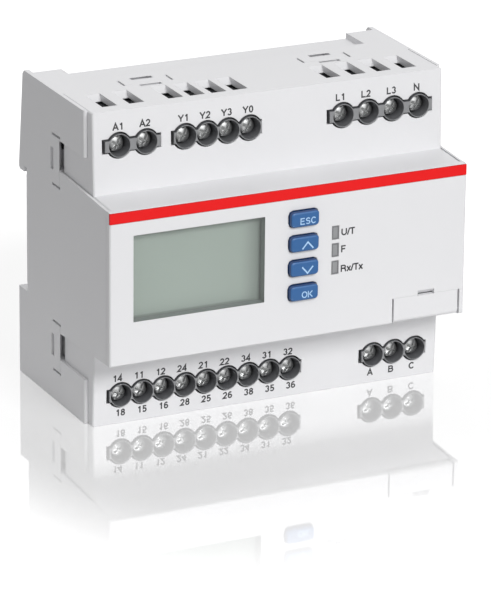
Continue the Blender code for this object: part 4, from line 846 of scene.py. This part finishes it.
# Width and pen strokes of each sign, in shares of the height of a capital.
GLYPHS = {
    "0": (0.78, [curve_points((0.39, 0.5), (0.25, 0.425), 90, 450, 20)]),
    "1": (0.78, [[(0.47, 0), (0.47, 1)], [(0.47, 0.93), (0.36, 0.8), (0.2, 0.74)]]),
    "2": (0.78, [curve_points((0.39, 0.68), (0.24, 0.245), 175, -30) + [(0.13, 0.075), (0.68, 0.075)]]),
    "3": (0.78, [curve_points((0.38, 0.71), (0.21, 0.215), 165, -80),
                 curve_points((0.38, 0.3), (0.24, 0.225), 80, -165)]),
    "4": (0.78, [[(0.53, 0), (0.53, 0.93), (0.1, 0.3), (0.72, 0.3)]]),
    "5": (0.78, [[(0.65, 0.925), (0.22, 0.925)]
                 + curve_points((0.38, 0.33), (0.25, 0.255), 128, -155)]),
    "6": (0.78, [curve_points((0.4, 0.32), (0.24, 0.245), 180, 540, 20),
                 curve_points((0.42, 0.5), (0.26, 0.425), 50, 180)]),
    "8": (0.78, [curve_points((0.39, 0.73), (0.2, 0.195), -90, 270, 18),
                 curve_points((0.39, 0.3), (0.24, 0.23), 90, 450, 18)]),
    "A": (0.93, [[(0.07, 0), (0.46, 0.96), (0.86, 0)], [(0.2, 0.34), (0.73, 0.34)]]),
    "B": (0.93, [[(0.14, 0.535), (0.14, 0.925)] + curve_points((0.5, 0.73), (0.22, 0.195), 90, -90)
                 + [(0.14, 0.535), (0.14, 0.075)] + curve_points((0.53, 0.305), (0.25, 0.23), -90, 90)]),
    "C": (1.0, [curve_points((0.51, 0.5), (0.38, 0.425), 38, 322, 16)]),
    "E": (0.93, [[(0.8, 0.925), (0.15, 0.925), (0.15, 0.075), (0.82, 0.075)],
                 [(0.15, 0.52), (0.74, 0.52)]]),
    "F": (0.85, [[(0.78, 0.925), (0.15, 0.925), (0.15, 0)], [(0.15, 0.5), (0.7, 0.5)]]),
    "K": (0.93, [[(0.14, 0), (0.14, 1)], [(0.82, 0.97), (0.14, 0.36)], [(0.36, 0.56), (0.84, 0.03)]]),
    "L": (0.78, [[(0.14, 1), (0.14, 0.075), (0.7, 0.075)]]),
    "N": (1.0, [[(0.14, 0), (0.14, 0.93), (0.84, 0.07), (0.84, 1)]]),
    "O": (1.05, [curve_points((0.53, 0.5), (0.41, 0.425), 90, 450, 24)]),
    "R": (1.0, [[(0.14, 0), (0.14, 0.925)] + curve_points((0.55, 0.715), (0.23, 0.21), 90, -90)
                + [(0.14, 0.505)], [(0.55, 0.505), (0.78, 0.36), (0.84, 0)]]),
    "S": (0.93, [curve_points((0.46, 0.715), (0.28, 0.21), 20, 250)
                 + curve_points((0.46, 0.29), (0.31, 0.215), 70, -155)]),
    "T": (0.85, [[(0.43, 0), (0.43, 0.925)], [(0.04, 0.925), (0.82, 0.925)]]),
    "U": (1.0, [[(0.14, 1)] + curve_points((0.49, 0.42), (0.35, 0.345), 180, 360) + [(0.84, 1)]]),
    "Y": (0.93, [[(0.07, 0.98), (0.46, 0.43), (0.86, 0.98)], [(0.46, 0.45), (0.46, 0)]]),
    "x": (0.7, [[(0.07, 0), (0.63, 0.73)], [(0.07, 0.73), (0.63, 0)]]),
    "/": (0.4, [[(0.03, 0), (0.37, 1)]]),
}


def word_width(words, height):
    """Length of a word when its capitals have a given height."""
    return height * sum(GLYPHS[letter][0] for letter in words)


def place_words(shape, words, height, centre, depth_at, weight, squeeze=1.0):
    """Add a word's strokes to a bmesh, standing in X and Z, just proud of the surface below it."""
    left = centre[0] - word_width(words, height) * squeeze / 2
    for letter in words:
        advance, strokes = GLYPHS[letter]
        for points in strokes:
            placed = [(left + height * squeeze * x, centre[1] + height * (z - 0.5)) for x, z in points]
            stroke(shape, placed, weight, depth_at)
        left += height * squeeze * advance


def screen_ink(name, colour):
    """Pad-printed ink: thin, matt and slightly uneven where the pad lifted."""
    finish, tree, shader, place = new_finish(name)
    patch = add_node(tree, "ShaderNodeTexNoise", [("Scale", 1 / (0.5 * MM)), ("Detail", 2.0)],
                     [("Vector", place)])
    full = linear(colour)
    shade = add_node(tree, "ShaderNodeMix", [("data_type", "RGBA"), (6, full), (7, scaled(full, 1.25))],
                     [(0, patch.outputs["Fac"])])
    tree.links.new(shade.outputs[2], shader.inputs["Base Color"])
    shader.inputs["Roughness"].default_value = 0.6
    return finish


key_plastic = moulded_plastic("blue_abs_moulded", KEY_BLUE, 0.36, depth=KEY_GRAIN_DEPTH)
key_side_painted_shade_plastic = moulded_plastic("blue_abs_sides_painted_shade", KEY_SIDE_PAINTED_SHADE, 0.4, depth=KEY_GRAIN_DEPTH)
key_ink = screen_ink("pale_blue_ink_pad_printed", "A6C8EA")
for key, z in KEY_Z.items():
    cap = key_shape("key_cap_" + key, KEY_X, z)
    coat(smooth_rounds(cap, 50), key_plastic)
    # Faces that turn away from the front get the darker blue, which is painted shade.
    cap.data.materials.append(key_side_painted_shade_plastic)
    for face in cap.data.polygons:
        face.material_index = int(face.normal.y > KEY_FACE_TILT)
    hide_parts("key_" + key)
    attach(cap, "key_" + key)
    sign_shape = bmesh.new()
    centre = (KEY_X + SIGN_SHIFT[0], z + SIGN_SHIFT[1])
    if key in ("up", "down"):
        rise = ARROW_HALF[1] if key == "up" else -ARROW_HALF[1]
        stroke(sign_shape, ((centre[0] - ARROW_HALF[0], centre[1] - rise), (centre[0], centre[1] + rise),
                            (centre[0] + ARROW_HALF[0], centre[1] - rise)), ARROW_WEIGHT,
               lambda z: KEY_FRONT)
    else:
        place_words(sign_shape, key.upper(), SIGN_HEIGHT, centre, lambda z: KEY_FRONT, SIGN_WEIGHT,
                    SIGN_SQUEEZE)
    sign = add_piece("key_sign_" + key, sign_shape)
    coat(sign, key_ink)
    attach(sign, "key_" + key)


# Service flap
# A small hinged door in the panel's lower right corner, moulded in the cover's plastic, on a barrel with
# two pins that spring into sockets in the cover.

FLAP_LIPS = ((32.0 * MM, 39.5 * MM), (44.7 * MM, 52.2 * MM))
FLAP_LIP_DEPTH = (-57.2 * MM, -56.7 * MM)
FLAP_LIP_HEIGHT = (-14.9 * MM, -14.66 * MM)

flap = refined("service_flap", "flap_moulding")
flap_lips = [slab("flap_lip", across, FLAP_LIP_DEPTH, FLAP_LIP_HEIGHT) for across in FLAP_LIPS]
combine(flap, flap_lips, "UNION")
coat(smooth_rounds(flap), light_grey_plastic)
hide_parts("service_flap")
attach(flap, "service_flap")


# Printed marks
# The terminals' numbers and letters and the indicators' short names, pad printed in dark grey on the
# cover. They are plain marks such as the standard for terminals gives.

MARK_GREY = "3C3C3E"
UPPER_MARK = 41.2 * MM
LOWER_MARK_TOP = -30.9 * MM
LOWER_MARK_BOTTOM = -41.2 * MM
MARK_SHIFTS = {
    "supply": ((-0.15 * MM, -0.1 * MM),),
    "control": ((-0.45 * MM, 0),),
    "measuring": ((-0.65 * MM, 0.06 * MM),),
    "output": ((-1.0 * MM, 0.04 * MM), (0.05 * MM, 0.06 * MM)),
    "bus": ((-0.45 * MM, 0),),
}
MARK_HEIGHT = 1.95 * MM
MARK_WEIGHT = 0.41 * MM
PANEL_FRONT = -57.2 * MM
INDICATOR_LEFT = 15.3 * MM
INDICATOR_MARKS = (("U/T", 7.2 * MM), ("F", 2.3 * MM), ("Rx/Tx", -3.4 * MM))
INDICATOR_SQUEEZE = 0.97
WINDOW_X = 13.6 * MM
WINDOW_HEIGHTS = (7.3 * MM, 2.25 * MM, -2.8 * MM)
FRAME_HALF = (0.87 * MM, 1.72 * MM)
FRAME_WEIGHT = 0.3 * MM

marks_shape = bmesh.new()
frames_shape = bmesh.new()
for group, (height, first, pitch, ways) in TERMINAL_ROWS.items():
    for number, way in enumerate(ways):
        names = way.split("_")
        if height > 0:
            places = (UPPER_MARK,)
        else:
            places = (LOWER_MARK_TOP, LOWER_MARK_BOTTOM)[-len(names):]
        for words, z, (shift, stretch) in zip(names, places, MARK_SHIFTS[group]):
            x = first + shift + number * (pitch + stretch)
            place_words(marks_shape, words, MARK_HEIGHT, (x, z), face_depth, MARK_WEIGHT)
for words, middle in INDICATOR_MARKS:
    half = word_width(words, MARK_HEIGHT) * INDICATOR_SQUEEZE / 2
    place_words(marks_shape, words, MARK_HEIGHT, (INDICATOR_LEFT + half, middle), lambda z: PANEL_FRONT,
                MARK_WEIGHT, INDICATOR_SQUEEZE)
for z in WINDOW_HEIGHTS:
    corners = [(WINDOW_X + side * FRAME_HALF[0], z + rise * FRAME_HALF[1])
               for side, rise in ((1, 0), (1, 1), (-1, 1), (-1, -1), (1, -1), (1, 0))]
    stroke(frames_shape, corners, FRAME_WEIGHT, lambda z: PANEL_FRONT)
frames = add_piece("printed_window_frames", frames_shape)
coat(frames, screen_ink("mid_grey_ink_pad_printed", "77787A"))
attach(frames, "housing")
marks = add_piece("printed_marks", marks_shape)
coat(marks, screen_ink("dark_grey_ink_pad_printed", MARK_GREY))
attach(marks, "housing")


# Studio
# A pale glossy floor that carries a soft shadow and a faint mirror image, a white surround, a soft lamp
# in front, a larger and weaker one above and behind, and the camera at the photograph's angle.

WORLD_LEVEL = 0.405
FLOOR_HALF = 3.0
FLOOR_LIFT = 0.82
FOOTPRINT_HALF = (54 * MM, 44 * MM)
MIRROR_SHARE = 0.6
MIRROR_NEAR = 40 * MM
MIRROR_REACH = 160 * MM
SIDE_FADE = 2.2
CAMERA_TARGET = Vector((-3.9201, -37.2, -16.3136)) * MM
CAMERA_DISTANCE = 1214.7514 * MM
CAMERA_AZIMUTH = -0.4492951287
CAMERA_ELEVATION = 0.3450821376
CAMERA_ROLL = 0.0106367100
CAMERA_LENS = 262.3376
CAMERA_SENSOR = 36.0


def white_for_camera(tree, light):
    """Strength that is white to the camera, a gloss or a glass, and a lamp's level to all else."""
    ray = add_node(tree, "ShaderNodeLightPath")
    seen = add_node(tree, "ShaderNodeMath", [("operation", "MAXIMUM")],
                    [(0, ray.outputs["Is Camera Ray"]), (1, ray.outputs["Is Glossy Ray"])])
    through = add_node(tree, "ShaderNodeMath", [("operation", "MAXIMUM")],
                       [(0, seen.outputs[0]), (1, ray.outputs["Is Transmission Ray"])])
    return add_node(tree, "ShaderNodeMapRange", [("To Min", light), ("To Max", 1.0)],
                    [("Value", through.outputs[0])]).outputs["Result"]


world = bpy.data.worlds.new("white_surround")
world.use_nodes = True
bpy.context.scene.world = world
backdrop = world.node_tree.nodes["Background"]
backdrop.inputs["Color"].default_value = (1, 1, 1, 1)
world.node_tree.links.new(white_for_camera(world.node_tree, WORLD_LEVEL), backdrop.inputs["Strength"])

floor_shape = bmesh.new()
bmesh.ops.create_grid(floor_shape, x_segments=1, y_segments=1, size=FLOOR_HALF)
floor = add_piece("floor", floor_shape)
floor.location = (0, 0, BOTTOM)
sheet, tree, shader, place = new_finish("white_acrylic_sheet_polished")
shader.inputs["Base Color"].default_value = linear("C8C8C8")
shader.inputs["Roughness"].default_value = 1.0
shader.inputs["Specular IOR Level"].default_value = 0.0
shader.inputs["Emission Color"].default_value = (1, 1, 1, 1)
ray = add_node(tree, "ShaderNodeLightPath")
lift = add_node(tree, "ShaderNodeMath", [("operation", "MULTIPLY"), (1, FLOOR_LIFT)],
                [(0, ray.outputs["Is Camera Ray"])])
tree.links.new(lift.outputs[0], shader.inputs["Emission Strength"])
part = add_node(tree, "ShaderNodeVectorMath", [("operation", "ABSOLUTE")], [(0, place)])
outside = add_node(tree, "ShaderNodeVectorMath",
                   [("operation", "SUBTRACT"), (1, (*FOOTPRINT_HALF, 0.0))], [(0, part.outputs[0])])
beyond = add_node(tree, "ShaderNodeVectorMath", [("operation", "MAXIMUM"), (1, (0.0, 0.0, 0.0))],
                  [(0, outside.outputs[0])])
spread = add_node(tree, "ShaderNodeVectorMath", [("operation", "MULTIPLY"), (1, (SIDE_FADE, 1.0, 0.0))],
                  [(0, beyond.outputs[0])])
away = add_node(tree, "ShaderNodeVectorMath", [("operation", "LENGTH")], [(0, spread.outputs[0])])
fade = add_node(tree, "ShaderNodeMapRange",
                [("interpolation_type", "SMOOTHSTEP"), ("From Min", MIRROR_NEAR),
                 ("From Max", MIRROR_REACH), ("To Min", MIRROR_SHARE), ("To Max", 0.0)],
                [("Value", away.outputs["Value"])])
mirror = add_node(tree, "ShaderNodeBsdfGlossy", [("Roughness", 0.02)])
blend = add_node(tree, "ShaderNodeMixShader", [], [(0, fade.outputs["Result"]), (1, shader.outputs[0]),
                                                   (2, mirror.outputs[0])])
tree.links.new(blend.outputs[0], tree.nodes["Material Output"].inputs["Surface"])
coat(floor, sheet)


def lamp(name, place, aim, size, power):
    """A square soft lamp that faces a point."""
    light = bpy.data.lights.new(name, "AREA")
    light.size = size
    light.energy = power
    holder = bpy.data.objects.new(name, light)
    holder.location = place
    holder.rotation_euler = (Vector(aim) - Vector(place)).to_track_quat("-Z", "Y").to_euler()
    bpy.context.scene.collection.objects.link(holder)


lamp("key_lamp", place=(0.12, -1.05, 0.68), aim=(0, -0.03, 0), size=0.4, power=8.7)
lamp("rear_lamp", place=(0.1, 0.75, 0.95), aim=(0, 0, 0.02), size=0.8, power=2.9)

back = Vector((math.sin(CAMERA_AZIMUTH) * math.cos(CAMERA_ELEVATION),
               -math.cos(CAMERA_AZIMUTH) * math.cos(CAMERA_ELEVATION), math.sin(CAMERA_ELEVATION)))
right = (-back).cross(Vector((0, 0, 1))).normalized()
up = right.cross(-back)
rolled_right = math.cos(CAMERA_ROLL) * right + math.sin(CAMERA_ROLL) * up
rolled_up = -math.sin(CAMERA_ROLL) * right + math.cos(CAMERA_ROLL) * up
turn = Matrix((rolled_right, rolled_up, back)).transposed().to_4x4()
camera = bpy.data.objects.new("camera", bpy.data.cameras.new("camera"))
camera.data.lens = CAMERA_LENS
camera.data.sensor_width = CAMERA_SENSOR
camera.data.clip_start = 0.05
camera.matrix_world = Matrix.Translation(CAMERA_TARGET + back * CAMERA_DISTANCE) @ turn
bpy.context.scene.collection.objects.link(camera)
bpy.context.scene.camera = camera
bpy.context.scene.view_settings.view_transform = "Standard"
